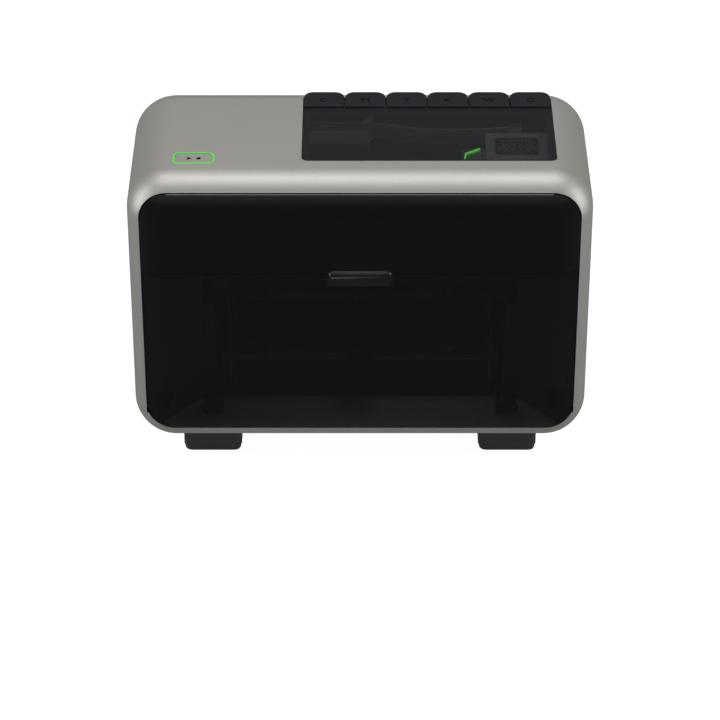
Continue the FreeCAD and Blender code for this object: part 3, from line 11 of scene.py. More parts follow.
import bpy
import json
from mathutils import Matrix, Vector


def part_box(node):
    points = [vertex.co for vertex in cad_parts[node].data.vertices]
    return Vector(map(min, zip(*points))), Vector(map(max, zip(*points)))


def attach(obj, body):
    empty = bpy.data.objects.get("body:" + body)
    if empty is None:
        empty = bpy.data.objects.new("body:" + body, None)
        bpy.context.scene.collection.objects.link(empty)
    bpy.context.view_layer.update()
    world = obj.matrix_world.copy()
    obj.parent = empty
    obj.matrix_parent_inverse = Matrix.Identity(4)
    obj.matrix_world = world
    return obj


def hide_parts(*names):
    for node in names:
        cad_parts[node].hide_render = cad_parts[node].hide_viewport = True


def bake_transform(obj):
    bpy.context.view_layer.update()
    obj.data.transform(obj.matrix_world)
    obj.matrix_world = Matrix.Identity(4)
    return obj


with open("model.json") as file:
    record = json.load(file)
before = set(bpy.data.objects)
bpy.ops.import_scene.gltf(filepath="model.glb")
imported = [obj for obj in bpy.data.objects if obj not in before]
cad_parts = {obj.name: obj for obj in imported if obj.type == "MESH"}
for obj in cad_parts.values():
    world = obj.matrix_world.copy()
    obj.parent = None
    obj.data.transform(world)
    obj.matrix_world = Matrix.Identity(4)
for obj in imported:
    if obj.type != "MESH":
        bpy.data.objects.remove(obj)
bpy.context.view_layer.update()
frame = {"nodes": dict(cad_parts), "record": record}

# %% Bring in the tools
import json
import math

import bpy
from mathutils import Vector

MM = 0.001
SMOOTH_ANGLE = math.radians(35)
NODES = frame["nodes"]
print("parts of the design:", len(NODES))

# %% [markdown]
# ## Camera, light and floor
#
# A product picture of a cabinet wants a long lens: it keeps the sides nearly parallel, so that the
# rounded corners read as they are. The camera looks down by about a third of a right angle, high
# enough to show the window in the top. The picture's centre lies under the cabinet's middle. The lens
# is shifted to bring it there, because a second tilt would change how the upright edges lean.

# %% Place the camera
CAMERA_PLACE = Vector((0.0, -2.9884, 2.0483))
CAMERA_AIM = Vector((0.0, 0.0, 0.198))
LENS_MM = 151.6
SENSOR_MM = 36.0
LENS_SHIFT = -0.132
FAR_LIMIT = 50.0


def add_camera():
    """The one camera, long and shifted."""
    bpy.ops.object.camera_add(location=CAMERA_PLACE)
    camera = bpy.context.object
    camera.name = "product_camera"
    camera.rotation_euler = (CAMERA_AIM - CAMERA_PLACE).to_track_quat("-Z", "Y").to_euler()
    camera.data.sensor_width = SENSOR_MM
    camera.data.lens = LENS_MM
    camera.data.shift_y = LENS_SHIFT
    camera.data.clip_end = FAR_LIMIT
    bpy.context.scene.camera = camera
    return camera


print("camera lens:", add_camera().data.lens, "mm")

# %% [markdown]
# The cabinet is soft-edged and satin, and it is described almost wholly by what it reflects. One wide
# lamp above and a little behind lays a long highlight along the front shoulder, and two tall ones at
# the sides draw the upright edges. A weaker one fills the front. The front panels are gloss black and
# would mirror it as a grey stripe, so it lights matt surfaces but is hidden from reflections.

# %% Hang the lamps
LAMPS = [  # name, place, the point it is turned to, width and height, watts
    ("overhead_softbox", (0.0, 0.17, 1.5), (0.0, 0.0, 0.3), (1.6, 0.46), 12.5),
    ("front_fill", (0.0, -2.6, 0.9), (0.0, 0.0, 0.1), (2.2, 0.5), 7.0),
    ("left_strip", (-1.7, -0.15, 0.7), (0.0, 0.0, 0.2), (0.5, 1.4), 15.0),
    ("right_strip", (1.7, -0.15, 0.7), (0.0, 0.0, 0.2), (0.5, 1.4), 15.0),
]


def add_lamp(name, place, aim, size, watts):
    """A rectangular soft lamp at place, turned to aim."""
    bpy.ops.object.light_add(type="AREA", location=place)
    lamp = bpy.context.object
    lamp.name = name
    lamp.data.shape = "RECTANGLE"
    lamp.data.size, lamp.data.size_y = size
    lamp.data.energy = watts
    lamp.rotation_euler = (Vector(aim) - Vector(place)).to_track_quat("-Z", "Y").to_euler()
    return lamp


lamps = {row[0]: add_lamp(*row) for row in LAMPS}
lamps["front_fill"].visible_glossy = False
print("lamps:", ", ".join(lamps))


# %% Fill the room with even light
ROOM_LOW, ROOM_HIGH = 0.05, 0.42
ROOM_HEIGHTS = (0.30, 0.80)


def light_room(low, high):
    """A plain world that brightens from the horizon to overhead."""
    world = bpy.data.worlds.new("studio_room")
    world.use_nodes = True
    tree = world.node_tree
    place = tree.nodes.new("ShaderNodeTexCoord")
    height = tree.nodes.new("ShaderNodeSeparateXYZ")
    ramp = tree.nodes.new("ShaderNodeValToRGB")
    for end, position, level in zip(ramp.color_ramp.elements, ROOM_HEIGHTS, (low, high)):
        end.position = position
        end.color = (level, level, level, 1.0)
    tree.links.new(place.outputs["Generated"], height.inputs["Vector"])
    tree.links.new(height.outputs["Z"], ramp.inputs["Fac"])
    tree.links.new(ramp.outputs["Color"], tree.nodes["Background"].inputs["Color"])
    bpy.context.scene.world = world


light_room(ROOM_LOW, ROOM_HIGH)
bpy.context.scene.view_settings.view_transform = "Standard"
print("room:", bpy.context.scene.world.name)

# %% [markdown]
# ## How the finishes are built
#
# Most of this printer is moulded or painted, and what separates one finish from another at arm's
# length is small: how coarse the grain is, whether fingers have dulled it, which way a metal was
# brushed. Those three effects are shared, so each is a node group that is made once and given its own
# values in every material. The groups only hand out colours, values and heights: the shader itself
# always stands in the material.

# %% Build a node group
def group_tree(name, numbers, colours=(), outputs=()):
    """An empty shader group. numbers and colours are its inputs, and every group also takes a Vector."""
    tree = bpy.data.node_groups.new(name, "ShaderNodeTree")
    tree.interface.new_socket("Vector", in_out="INPUT", socket_type="NodeSocketVector")
    for label, value in numbers:
        number = tree.interface.new_socket(label, in_out="INPUT", socket_type="NodeSocketFloat")
        number.default_value = value
    for label in colours:
        tree.interface.new_socket(label, in_out="INPUT", socket_type="NodeSocketColor")
    for label, kind in outputs:
        tree.interface.new_socket(label, in_out="OUTPUT", socket_type=kind)
    return tree, tree.nodes.new("NodeGroupInput"), tree.nodes.new("NodeGroupOutput")


def add_node(tree, kind, settings=(), values=(), links=()):
    """A node with its settings, socket values and incoming links."""
    made = tree.nodes.new(kind)
    for label, value in settings:
        setattr(made, label, value)
    for label, value in values:
        made.inputs[label].default_value = value
    for label, source in links:
        tree.links.new(source, made.inputs[label])
    return made


def maths(tree, operation, first, second):
    """One Math node. Each of first and second is a socket or a number."""
    made = tree.nodes.new("ShaderNodeMath")
    made.operation = operation
    for slot, value in zip(made.inputs, (first, second)):
        if isinstance(value, (int, float)):
            slot.default_value = value
        else:
            tree.links.new(value, slot)
    return made.outputs[0]


# %% Grain: the speckle of paint or moulded texture
NOISE_MIDDLE = 0.5
GRAIN_GAIN = 4.0  # noise stays near its middle, so it is widened before use


def build_grain():
    """Fine noise that varies a colour and a roughness, and gives a height for bump."""
    tree, given, out = group_tree(
        "surface_grain",
        [("Scale", 900.0), ("Colour Spread", 0.05), ("Roughness", 0.4), ("Roughness Spread", 0.05)],
        ["Colour"],
        [("Colour", "NodeSocketColor"), ("Roughness", "NodeSocketFloat"), ("Height", "NodeSocketFloat")])
    noise = add_node(tree, "ShaderNodeTexNoise", values=[("Detail", 3.0), ("Roughness", 0.6)],
                     links=[("Vector", given.outputs["Vector"]), ("Scale", given.outputs["Scale"])])
    centred = maths(tree, "SUBTRACT", noise.outputs["Fac"], NOISE_MIDDLE)
    wide = maths(tree, "MULTIPLY", centred, GRAIN_GAIN)
    level = maths(tree, "ADD", maths(tree, "MULTIPLY", wide, given.outputs["Colour Spread"]), 1.0)
    tinted = add_node(tree, "ShaderNodeVectorMath", [("operation", "SCALE")],
                      links=[("Vector", given.outputs["Colour"]), ("Scale", level)])
    tree.links.new(tinted.outputs["Vector"], out.inputs["Colour"])
    wander = maths(tree, "MULTIPLY", wide, given.outputs["Roughness Spread"])
    tree.links.new(maths(tree, "ADD", given.outputs["Roughness"], wander), out.inputs["Roughness"])
    tree.links.new(noise.outputs["Fac"], out.inputs["Height"])
    return tree


GRAIN = build_grain()
print("group:", GRAIN.name)


# %% Handling: where fingers and cloths have dulled a surface
PATCH_START, PATCH_FULL = 0.42, 0.72  # how strong the noise is where a mark begins and where it is whole


def build_handling():
    """Broad soft patches that raise a roughness."""
    tree, given, out = group_tree(
        "handling_marks",
        [("Roughness", 0.3), ("Amount", 0.08), ("Scale", 14.0)],
        outputs=[("Roughness", "NodeSocketFloat")])
    patches = add_node(tree, "ShaderNodeTexNoise",
                       values=[("Detail", 5.0), ("Roughness", 0.55), ("Distortion", 0.6)],
                       links=[("Vector", given.outputs["Vector"]), ("Scale", given.outputs["Scale"])])
    mask = add_node(tree, "ShaderNodeMapRange", [("clamp", True)],
                    [("From Min", PATCH_START), ("From Max", PATCH_FULL)],
                    [("Value", patches.outputs["Fac"])])
    added = maths(tree, "MULTIPLY", mask.outputs["Result"], given.outputs["Amount"])
    tree.links.new(maths(tree, "ADD", given.outputs["Roughness"], added), out.inputs["Roughness"])
    return tree


HANDLING = build_handling()
print("group:", HANDLING.name)


# %% Brushing: the fine lines of drawn, ground or brushed metal
LINE_GAIN = 3.0  # the gloss wanders this much more than the colour does


def build_brushing():
    """Noise stretched along one axis, for lines in a metal's roughness and height."""
    tree, given, out = group_tree(
        "brushed_lines",
        [("Density", 900.0), ("Roughness", 0.3), ("Spread", 0.12)], ["Colour"],
        [("Colour", "NodeSocketColor"), ("Roughness", "NodeSocketFloat"), ("Height", "NodeSocketFloat")])
    lines = add_node(tree, "ShaderNodeTexNoise", values=[("Detail", 2.0)],
                     links=[("Vector", given.outputs["Vector"]), ("Scale", given.outputs["Density"])])
    centred = maths(tree, "SUBTRACT", lines.outputs["Fac"], NOISE_MIDDLE)
    wander = maths(tree, "MULTIPLY", centred, given.outputs["Spread"])
    widened = maths(tree, "MULTIPLY", wander, LINE_GAIN)
    tree.links.new(maths(tree, "ADD", given.outputs["Roughness"], widened), out.inputs["Roughness"])
    level = maths(tree, "ADD", wander, 1.0)
    tinted = add_node(tree, "ShaderNodeVectorMath", [("operation", "SCALE")],
                      links=[("Vector", given.outputs["Colour"]), ("Scale", level)])
    tree.links.new(tinted.outputs["Vector"], out.inputs["Colour"])
    tree.links.new(lines.outputs["Fac"], out.inputs["Height"])
    return tree


BRUSHING = build_brushing()
print("group:", BRUSHING.name)


# %% Start a material
def new_material(name, values=()):
    """A material with its Principled shader and the object's own coordinates."""
    material = bpy.data.materials.new(name)
    material.use_nodes = True
    tree = material.node_tree
    shader = tree.nodes["Principled BSDF"]
    for label, value in values:
        shader.inputs[label].default_value = value
    place = tree.nodes.new("ShaderNodeTexCoord")
    return material, tree, shader, place.outputs["Object"]


def use_group(tree, group, vector, values=(), colour=None):
    """A group node in a material, with its own values."""
    made = tree.nodes.new("ShaderNodeGroup")
    made.node_tree = group
    tree.links.new(vector, made.inputs["Vector"])
    for label, value in values:
        if isinstance(value, (int, float)):
            made.inputs[label].default_value = value
        else:
            tree.links.new(value, made.inputs[label])
    if colour is not None:
        made.inputs["Colour"].default_value = (*colour, 1.0)
    return made


def add_bump(tree, shader, height, strength, distance):
    """A Bump node from a height, into the shader's normal."""
    bump = add_node(tree, "ShaderNodeBump", values=[("Strength", strength), ("Distance", distance)],
                    links=[("Height", height)])
    tree.links.new(bump.outputs["Normal"], shader.inputs["Normal"])


# %% Grained, brushed and smoked finishes
ROUGHNESS_SPREAD = 0.05
GRAIN_BUMP, LINE_BUMP = 0.6, 0.4
LINE_HEIGHT = 0.02 * MM
METAL_MARKS = 0.08


def grained(name, colour, roughness, scale, bump, spread=0.05, marks=0.05, shader_values=()):
    """Paint or plastic: grain in its colour, gloss and height, and handling marks over that."""
    material, tree, shader, vector = new_material(name, shader_values)
    grain = use_group(tree, GRAIN, vector,
                      [("Scale", scale), ("Colour Spread", spread), ("Roughness", roughness),
                       ("Roughness Spread", ROUGHNESS_SPREAD)], colour)
    worn = use_group(tree, HANDLING, vector,
                     [("Roughness", grain.outputs["Roughness"]), ("Amount", marks)])
    tree.links.new(grain.outputs["Colour"], shader.inputs["Base Color"])
    tree.links.new(worn.outputs["Roughness"], shader.inputs["Roughness"])
    add_bump(tree, shader, grain.outputs["Height"], GRAIN_BUMP, bump)
    return material


def brushed(name, colour, roughness, stretch, metallic=1.0):
    """Metal with fine lines. stretch shrinks the pattern's coordinates along the lines."""
    material, tree, shader, vector = new_material(name, [("Metallic", metallic)])
    mapping = add_node(tree, "ShaderNodeMapping", values=[("Scale", stretch)], links=[("Vector", vector)])
    lines = use_group(tree, BRUSHING, mapping.outputs["Vector"], [("Roughness", roughness)], colour)
    worn = use_group(tree, HANDLING, vector,
                     [("Roughness", lines.outputs["Roughness"]), ("Amount", METAL_MARKS)])
    tree.links.new(lines.outputs["Colour"], shader.inputs["Base Color"])
    tree.links.new(worn.outputs["Roughness"], shader.inputs["Roughness"])
    add_bump(tree, shader, lines.outputs["Height"], LINE_BUMP, LINE_HEIGHT)
    return material


def sheer(name, colour, roughness, alpha):
    """Smoked clear plastic: dark, glossy, and see-through by its alpha."""
    material, tree, shader, vector = new_material(name, [("Alpha", alpha), ("IOR", 1.49)])
    tint = use_group(tree, GRAIN, vector,
                     [("Scale", 30.0), ("Colour Spread", 0.03), ("Roughness", roughness),
                      ("Roughness Spread", 0.01)], colour)
    worn = use_group(tree, HANDLING, vector,
                     [("Roughness", tint.outputs["Roughness"]), ("Amount", 0.06)])
    tree.links.new(tint.outputs["Colour"], shader.inputs["Base Color"])
    tree.links.new(worn.outputs["Roughness"], shader.inputs["Roughness"])
    return material


# %% [markdown]
# ## The finishes
#
# The cabinet is sprayed with a warm grey metallic paint whose flakes show as a fine speckle. Its
# front panels are black, the fascia opaque and the door smoked, so that the chamber is only just
# seen. The grips of the cartridges, the feet and the works inside are moulded in dark slate and black
# plastics, each with its own texture. Every mix below gives a colour, a roughness, a grain scale and
# a bump height in metres.

# %% Mix the outside finishes
PAINT = grained("champagne_paint", (0.350, 0.340, 0.318), 0.47, 1000.0, 0.00016, spread=0.09, marks=0.03,
                shader_values=[("Metallic", 0.55), ("Specular IOR Level", 0.5)])
FASCIA = grained("gloss_black_fascia", (0.0064, 0.0064, 0.0065), 0.10, 300.0, 0.000004, spread=0.03,
                 shader_values=[("Specular IOR Level", 0.35), ("Coat Weight", 0.15),
                                ("Coat Roughness", 0.05)])
DOOR_SMOKE = sheer("smoked_door", (0.0090, 0.0090, 0.0091), 0.08, 0.60)
WINDOW_SMOKE = sheer("smoked_window", (0.0125, 0.0142, 0.0160), 0.07, 0.50)
SLATE = grained("slate_plastic", (0.0105, 0.0122, 0.0150), 0.50, 1400.0, 0.00005,
                shader_values=[("Specular IOR Level", 0.15)])
FOOT_PLASTIC = grained("foot_plastic", (0.027, 0.0295, 0.034), 0.40, 1300.0, 0.00006)
# Besides the printed marks and letters, this black is laid on the screw heads as painted shade for their
# cross recesses.
INLAY_AND_SHADE = grained("inlaid_black_and_painted_shade", (0.0015, 0.0015, 0.0018), 0.60, 900.0, 0.00001,
                shader_values=[("Specular IOR Level", 0.05)])
REAR_PLASTIC = grained("rear_plastic", (0.030, 0.031, 0.033), 0.55, 1000.0, 0.00010)
print("outside finishes:", PAINT.name, FASCIA.name, DOOR_SMOKE.name)


# %% Light the button's ring
GLOW_GRAIN = [("Scale", 120.0), ("Colour Spread", 0.12)]


def lit(name, colour, strength):
    """A diffusing plastic that a lamp behind it makes glow, a little unevenly along its length."""
    values = [("Emission Strength", strength), ("Roughness", 0.45)]
    material, tree, shader, vector = new_material(name, values)
    grain = use_group(tree, GRAIN, vector, GLOW_GRAIN, colour)
    for label in ("Base Color", "Emission Color"):
        tree.links.new(grain.outputs["Colour"], shader.inputs[label])
    return material


GLOW = lit("green_glow", (0.060, 0.46, 0.035), 0.50)
print("lit:", GLOW.name)

# %% Mix the inside finishes
BLACK_PLASTIC = grained("black_plastic", (0.018, 0.019, 0.021), 0.45, 1200.0, 0.00006)
CHAMBER_PLASTIC = grained("chamber_plastic", (0.080, 0.081, 0.084), 0.50, 900.0, 0.00007)
COVER_PLASTIC = grained("cover_plastic", (0.290, 0.300, 0.320), 0.42, 1100.0, 0.00005)
APRON_PLASTIC = grained("apron_plastic", (0.560, 0.560, 0.565), 0.45, 900.0, 0.00006)
HINGE_COAT = grained("hinge_coat", (0.006, 0.006, 0.007), 0.40, 700.0, 0.00003)
SCOOP_PLASTIC = grained("scoop_plastic", (0.300, 0.300, 0.305), 0.34, 900.0, 0.00003)
ZINC = grained("zinc_steel", (0.42, 0.43, 0.44), 0.38, 160.0, 0.00002, spread=0.10,
               shader_values=[("Metallic", 1.0)])
GROUND_STEEL = brushed("ground_steel", (0.62, 0.62, 0.63), 0.16, (1.0, 1.0, 0.03))
ALUMINIUM = brushed("drawn_aluminium", (0.55, 0.56, 0.58), 0.30, (0.02, 1.0, 1.0))
BED_COAT = brushed("bed_anodising", (0.045, 0.046, 0.050), 0.42, (0.04, 1.0, 1.0), metallic=0.6)
MOTOR_PAINT = grained("motor_paint", (0.020, 0.020, 0.022), 0.35, 700.0, 0.00004)
RUBBER = grained("black_rubber", (0.012, 0.012, 0.012), 0.75, 1600.0, 0.00008, spread=0.12)
HEAD_STEEL = brushed("head_steel", (0.50, 0.50, 0.51), 0.24, (1.0, 0.03, 1.0))
LAMP_METAL = grained("lamp_anodising", (0.05, 0.05, 0.055), 0.35, 800.0, 0.00003,
                     shader_values=[("Metallic", 0.8)])
BOARD = grained("solder_mask", (0.010, 0.085, 0.030), 0.25, 500.0, 0.00002, spread=0.08)
TUBING = sheer("ink_tubing", (0.30, 0.31, 0.32), 0.22, 0.72)
print("inside finishes:", len(bpy.data.materials))

# %% Dress every part of the design
SLOT_FINISH = {
    "shell_paint": PAINT, "rear_plastic": REAR_PLASTIC, "dark_plastic": BLACK_PLASTIC,
    "smoked_glass": DOOR_SMOKE, "gloss_black": FASCIA, "cartridge_plastic": SLATE,
    "button_plastic": PAINT, "light_ring": GLOW, "chamber_plastic": CHAMBER_PLASTIC,
    "zinc_steel": ZINC, "bright_steel": GROUND_STEEL, "aluminium": ALUMINIUM,
    "bed_coat": BED_COAT, "motor_body": MOTOR_PAINT, "belt_rubber": RUBBER,
    "tube_plastic": TUBING, "head_metal": HEAD_STEEL, "lamp_metal": LAMP_METAL,
    "board_green": BOARD,
}
NODE_FINISH = {  # parts that differ from the rest of their slot
    "top_window": WINDOW_SMOKE, "feet": FOOT_PLASTIC, "apron": APRON_PLASTIC,
    "carriage_cover": COVER_PLASTIC, "camera_module": CHAMBER_PLASTIC,
    "hinge_arms": HINGE_COAT, "hinge_brackets": HINGE_COAT,
    "door_pull": SCOOP_PLASTIC, "grip_scoop": SCOOP_PLASTIC,
}


def dress(piece, material):
    """Gives a piece one finish."""
    piece.data.materials.clear()
    piece.data.materials.append(material)


for part in frame["record"]["subparts"]:
    node_name = part["node"]
    dress(NODES[node_name], NODE_FINISH.get(node_name, SLOT_FINISH[part["material_slot"]]))

# %% [markdown]
# ## The floor
#
# A wide pale sheet that glows a little, so that it stays near white and takes only a soft shadow from
# the feet. It is hidden from reflections, or its light would grey the gloss black panels.

# %% Lay the floor
FLOOR_SIZE = 14.0
FLOOR_DROP = 0.0002
WHITE = (1.0, 1.0, 1.0, 1.0)
PAPER = grained("floor_paper", (0.12, 0.12, 0.12), 0.75, 60.0, 0.0002, spread=0.01,
                shader_values=[("Emission Color", WHITE), ("Emission Strength", 0.96)])

bpy.ops.object.select_all(action="DESELECT")
bpy.ops.mesh.primitive_plane_add(size=FLOOR_SIZE, location=(0.0, 0.0, -FLOOR_DROP))
floor = bpy.context.object
floor.name = "studio_floor"
dress(floor, PAPER)
floor.visible_glossy = False
print("floor:", floor.name)

# %% [markdown]
# ## Hand tools for the detail pieces
#
# Every added piece begins as a primitive at its real size and place, is shaped in edit mode, and ends
# with its place in its mesh. The few helpers below do what a modeller does between those steps: clear
# the selection, add a block, pick faces or edges by where they are, and settle the result.

# %% Start from a block
def settle(piece):
    """Puts a piece's place, turn and size into its mesh."""
    bpy.ops.object.transform_apply(location=True, rotation=True, scale=True)
    return piece


def add_block(name, low, high):
    """A block between two corners, the only thing selected."""
    low, high = Vector(low), Vector(high)
    bpy.ops.object.select_all(action="DESELECT")
    bpy.ops.mesh.primitive_cube_add(size=1.0, location=(low + high) / 2)
    piece = bpy.context.object
    piece.name = name
    piece.scale = high - low
    return settle(piece)


def add_drum(name, place, radius, length, sides=32, turn=(0.0, 0.0, 0.0)):
    """A round bar centred on place. turn tips it from standing upright."""
    bpy.ops.object.select_all(action="DESELECT")
    bpy.ops.mesh.primitive_cylinder_add(vertices=sides, radius=radius, depth=length,
                                        location=place, rotation=turn)
    piece = bpy.context.object
    piece.name = name
    return settle(piece)


# %% Pick faces and edges in edit mode
FACING = 0.9       # how nearly a normal must point along an axis
SAME_LENGTH = 1e-7


def edit(piece, kind="FACE"):
    """Opens a piece for editing with nothing selected."""
    bpy.ops.object.select_all(action="DESELECT")
    piece.select_set(True)
    bpy.context.view_layer.objects.active = piece
    bpy.ops.object.mode_set(mode="EDIT")
    bpy.ops.mesh.select_mode(type=kind)
    bpy.ops.mesh.select_all(action="DESELECT")


def pick_faces(piece, wanted):
    """Selects the faces that wanted accepts, by centre and normal, and stays in edit mode."""
    edit(piece)
    bpy.ops.object.mode_set(mode="OBJECT")
    for polygon in piece.data.polygons:
        polygon.select = wanted(polygon.center, polygon.normal)
    bpy.ops.object.mode_set(mode="EDIT")


def pick_edges(piece, wanted):
    """Selects the edges that wanted accepts, by their two ends, and stays in edit mode."""
    edit(piece, "EDGE")
    bpy.ops.object.mode_set(mode="OBJECT")
    ends = [vertex.co for vertex in piece.data.vertices]
    for edge in piece.data.edges:
        edge.select = wanted(ends[edge.vertices[0]], ends[edge.vertices[1]])
    bpy.ops.object.mode_set(mode="EDIT")


def along(axis):
    """A test for edges that run along one axis."""
    return lambda a, b: (a - b).length - abs((a - b)[axis]) < SAME_LENGTH


def faces_up(centre, normal):
    """A test for faces that look up."""
    return normal.z > FACING


def faces_back(centre, normal):
    """A test for faces that look to the back."""
    return normal.y > FACING


def close(piece):
    """Leaves edit mode."""
    bpy.ops.object.mode_set(mode="OBJECT")
    return piece


def ease(piece, wanted, width, segments=2):
    """Rounds the edges that wanted accepts."""
    pick_edges(piece, wanted)
    bpy.ops.mesh.bevel(offset=width, segments=segments, affect="EDGES")
    return close(piece)


def fit(piece, body, material):
    """Dresses a finished piece and makes it ride on a body."""
    dress(piece, material)
    bpy.ops.object.select_all(action="DESELECT")
    piece.select_set(True)
    bpy.context.view_layer.objects.active = piece
    bpy.ops.object.shade_smooth_by_angle(angle=SMOOTH_ANGLE)
    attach(piece, body)
    return piece


# %% [markdown]
# ## Panels with eased edges
#
# A moulded or drawn panel never ends in a knife edge: half a millimetre of round catches a thin line
# of light, and that line is what tells the eye that the fascia, the door and the cabinet are separate
# sheets. The design's panels are exact but sharp, and their meshes stay as they are, so each visible
# one is copied, its loose triangles are merged, and its sharp edges are bevelled. Where fascia and
# door meet, a wide round would open the seam, so the edges near it get a narrower one.

# %% Round, merge and shade a panel
RIM_ANGLE = math.radians(50)
FLAT_ANGLE = math.radians(1)
ANY_SHAPE = math.radians(180)
MERGE_LIMIT = 0.15 * MM
FACE_WEIGHT = 95


def ease_rims(piece, width, outward, reach):
    """Rounds the sharp edges of the faces that outward accepts, if both ends lie in reach's heights."""
    edit(piece, "EDGE")
    bpy.ops.mesh.edges_select_sharp(sharpness=RIM_ANGLE)
    bpy.ops.object.mode_set(mode="OBJECT")
    faces = [face for face in piece.data.polygons if outward(face.center, face.normal)]
    outside = {key for face in faces for key in face.edge_keys}
    heights = [vertex.co.z for vertex in piece.data.vertices]
    for edge in piece.data.edges:
        within = all(reach[0] < heights[end] < reach[1] for end in edge.vertices)
        edge.select = edge.select and edge.key in outside and within
    bpy.ops.object.mode_set(mode="EDIT")
    bpy.ops.mesh.bevel(offset=width, segments=3, affect="EDGES", clamp_overlap=False)
    return close(piece)


def merge_sheet(piece, limit):
    """Joins the loose triangles of a design mesh, and its vertices that lie closer than limit."""
    edit(piece)
    bpy.ops.mesh.select_all(action="SELECT")
    bpy.ops.mesh.remove_doubles(threshold=limit)
    bpy.ops.mesh.tris_convert_to_quads(face_threshold=FLAT_ANGLE, shape_threshold=ANY_SHAPE)
    return close(piece)


def even_shading(piece):
    """Smooth shading in which the large faces set the normals, so flat sheets stay flat to the eye."""
    bpy.ops.object.select_all(action="DESELECT")
    piece.select_set(True)
    bpy.context.view_layer.objects.active = piece
    bpy.ops.mesh.customdata_custom_splitnormals_clear()
    bpy.ops.object.shade_smooth_by_angle(angle=SMOOTH_ANGLE)
    bpy.ops.object.modifier_add(type="WEIGHTED_NORMAL")
    weighted = piece.modifiers[-1]
    weighted.keep_sharp = True
    weighted.weight = FACE_WEIGHT
    bpy.ops.object.modifier_apply(modifier=weighted.name)


# %% Ease the visible panels
CABINET_MIDDLE = sum(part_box("outer_shell"), Vector()) / 2
FASCIA_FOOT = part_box("upper_fascia")[0].z
DOOR_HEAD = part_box("front_door")[1].z
SEAM_BAND = 9.0 * MM
SHELL_RIMS_END = FASCIA_FOOT + 100.0 * MM
LOW, HIGH = -1.0, 1.0
FRONTAL = -0.3


def faces_front(centre, normal):
    """A test for faces that look to the front, even if aslant."""
    return normal.y < FRONTAL


def faces_out(centre, normal):
    """A test for faces that look away from the cabinet's middle."""
    return normal.dot(centre - CABINET_MIDDLE) > 0.0


def eased_copy(node, body, outward, passes):
    """A merged copy of a design node with its outer edges rounded, which stands for the node."""
    piece = NODES[node].copy()
    piece.data = NODES[node].data.copy()
    piece.name = node + "_eased"
    bpy.context.scene.collection.objects.link(piece)
    merge_sheet(piece, MERGE_LIMIT)
    for width, low, high in passes:
        ease_rims(piece, width * MM, outward, (low, high))
    even_shading(piece)
    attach(piece, body)
    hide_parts(node)
    return piece


PANELS = [  # node, body, test for outer faces, and for each pass its width in mm and its heights
    ("upper_fascia", "cabinet", faces_front,
     [(1.5, FASCIA_FOOT + SEAM_BAND, HIGH), (0.5, LOW, FASCIA_FOOT + SEAM_BAND)]),
    ("front_door", "door", faces_front,
     [(1.5, LOW, DOOR_HEAD - SEAM_BAND), (0.5, DOOR_HEAD - SEAM_BAND, HIGH)]),
    ("outer_shell", "cabinet", faces_out, [(0.4, LOW, SHELL_RIMS_END)]),
    ("feet", "cabinet", faces_out, [(1.2, LOW, HIGH)]),
]
for node_name, body, outward, passes in PANELS:
    piece = eased_copy(node_name, body, outward, passes)
    print(piece.name, len(piece.data.polygons), "faces")

# %% [markdown]
# ## The start button's marks
#
# The button's cap is painted like the cabinet and a green light guide rings it. Its two functions are
# marked with small dark symbols, a triangle for start and a square for stop, which are flat shapes
# lying on the cap.

# %% Mark the button
cap_low, cap_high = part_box("start_button")
CAP_MIDDLE = (cap_low + cap_high) / 2
MARK_THICKNESS = 0.12 * MM
MARK_RISE = 0.04 * MM
MARK_OFFSET = 5.5 * MM


def add_mark(name, corners, at_x, radius, turn):
    """A thin flat symbol with so many corners, printed on the button's cap."""
    place = (CAP_MIDDLE.x + at_x, CAP_MIDDLE.y, cap_high.z + MARK_RISE)
    mark = add_drum(name, place, radius, MARK_THICKNESS, corners, (0.0, 0.0, turn))
    pick_faces(mark, faces_up)
    bpy.ops.mesh.inset(thickness=0.15 * MM)
    close(mark)
    return fit(mark, "button", INLAY_AND_SHADE)


start_mark = add_mark("start_mark", 3, -MARK_OFFSET, 3.4 * MM, math.radians(-90))
stop_mark = add_mark("stop_mark", 4, MARK_OFFSET, 3.2 * MM, math.radians(45))
print("marks:", start_mark.name, stop_mark.name)

# %% [markdown]
# ## Letters on the cartridge grips
#
# Each grip carries the initial of its ink, moulded in darker plastic. A text object gives the letter,
# and it is made a mesh before its place is applied. Every letter rides on its own cartridge, so it
# lifts out with it.

# %% Inlay the letters
INK_LETTERS = {"cyan": "C", "magenta": "M", "yellow": "Y", "black": "K", "white": "W", "gloss": "G"}
LETTER_SIZE = 12.6 * MM
LETTER_SET_BACK = 14.5 * MM
LETTER_RISE = 0.02 * MM
LETTER_HALF_THICKNESS = 0.06 * MM
LETTER_STRETCH = 1.12


def add_letter(ink, letter):
    """One initial, lying on its cartridge's grip."""
    low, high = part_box("cartridge_" + ink)
    bpy.ops.object.select_all(action="DESELECT")
    place = ((low.x + high.x) / 2, low.y + LETTER_SET_BACK, high.z + LETTER_RISE)
    bpy.ops.object.text_add(location=place)
    text = bpy.context.object
    text.name = "letter_" + ink
    text.data.body = letter
    text.data.size = LETTER_SIZE
    text.data.extrude = LETTER_HALF_THICKNESS
    text.data.align_x = "CENTER"
    text.data.align_y = "CENTER"
    bpy.ops.object.convert(target="MESH")
    text.scale.x = LETTER_STRETCH
    settle(text)
    return fit(text, ink + "_cartridge", INLAY_AND_SHADE)


for ink, letter in INK_LETTERS.items():
    print(add_letter(ink, letter).name)

# %% [markdown]
# ## What shows through the top window
#
# The carriage parks at the right, and the lid of its cover can be read through the window: a sunk
# panel with eight ink ports and the channels that fan out from them. The panel is a block with
# rounded corners, sunk by an inset and a push. The channels are short curves with a round section,
# made meshes.

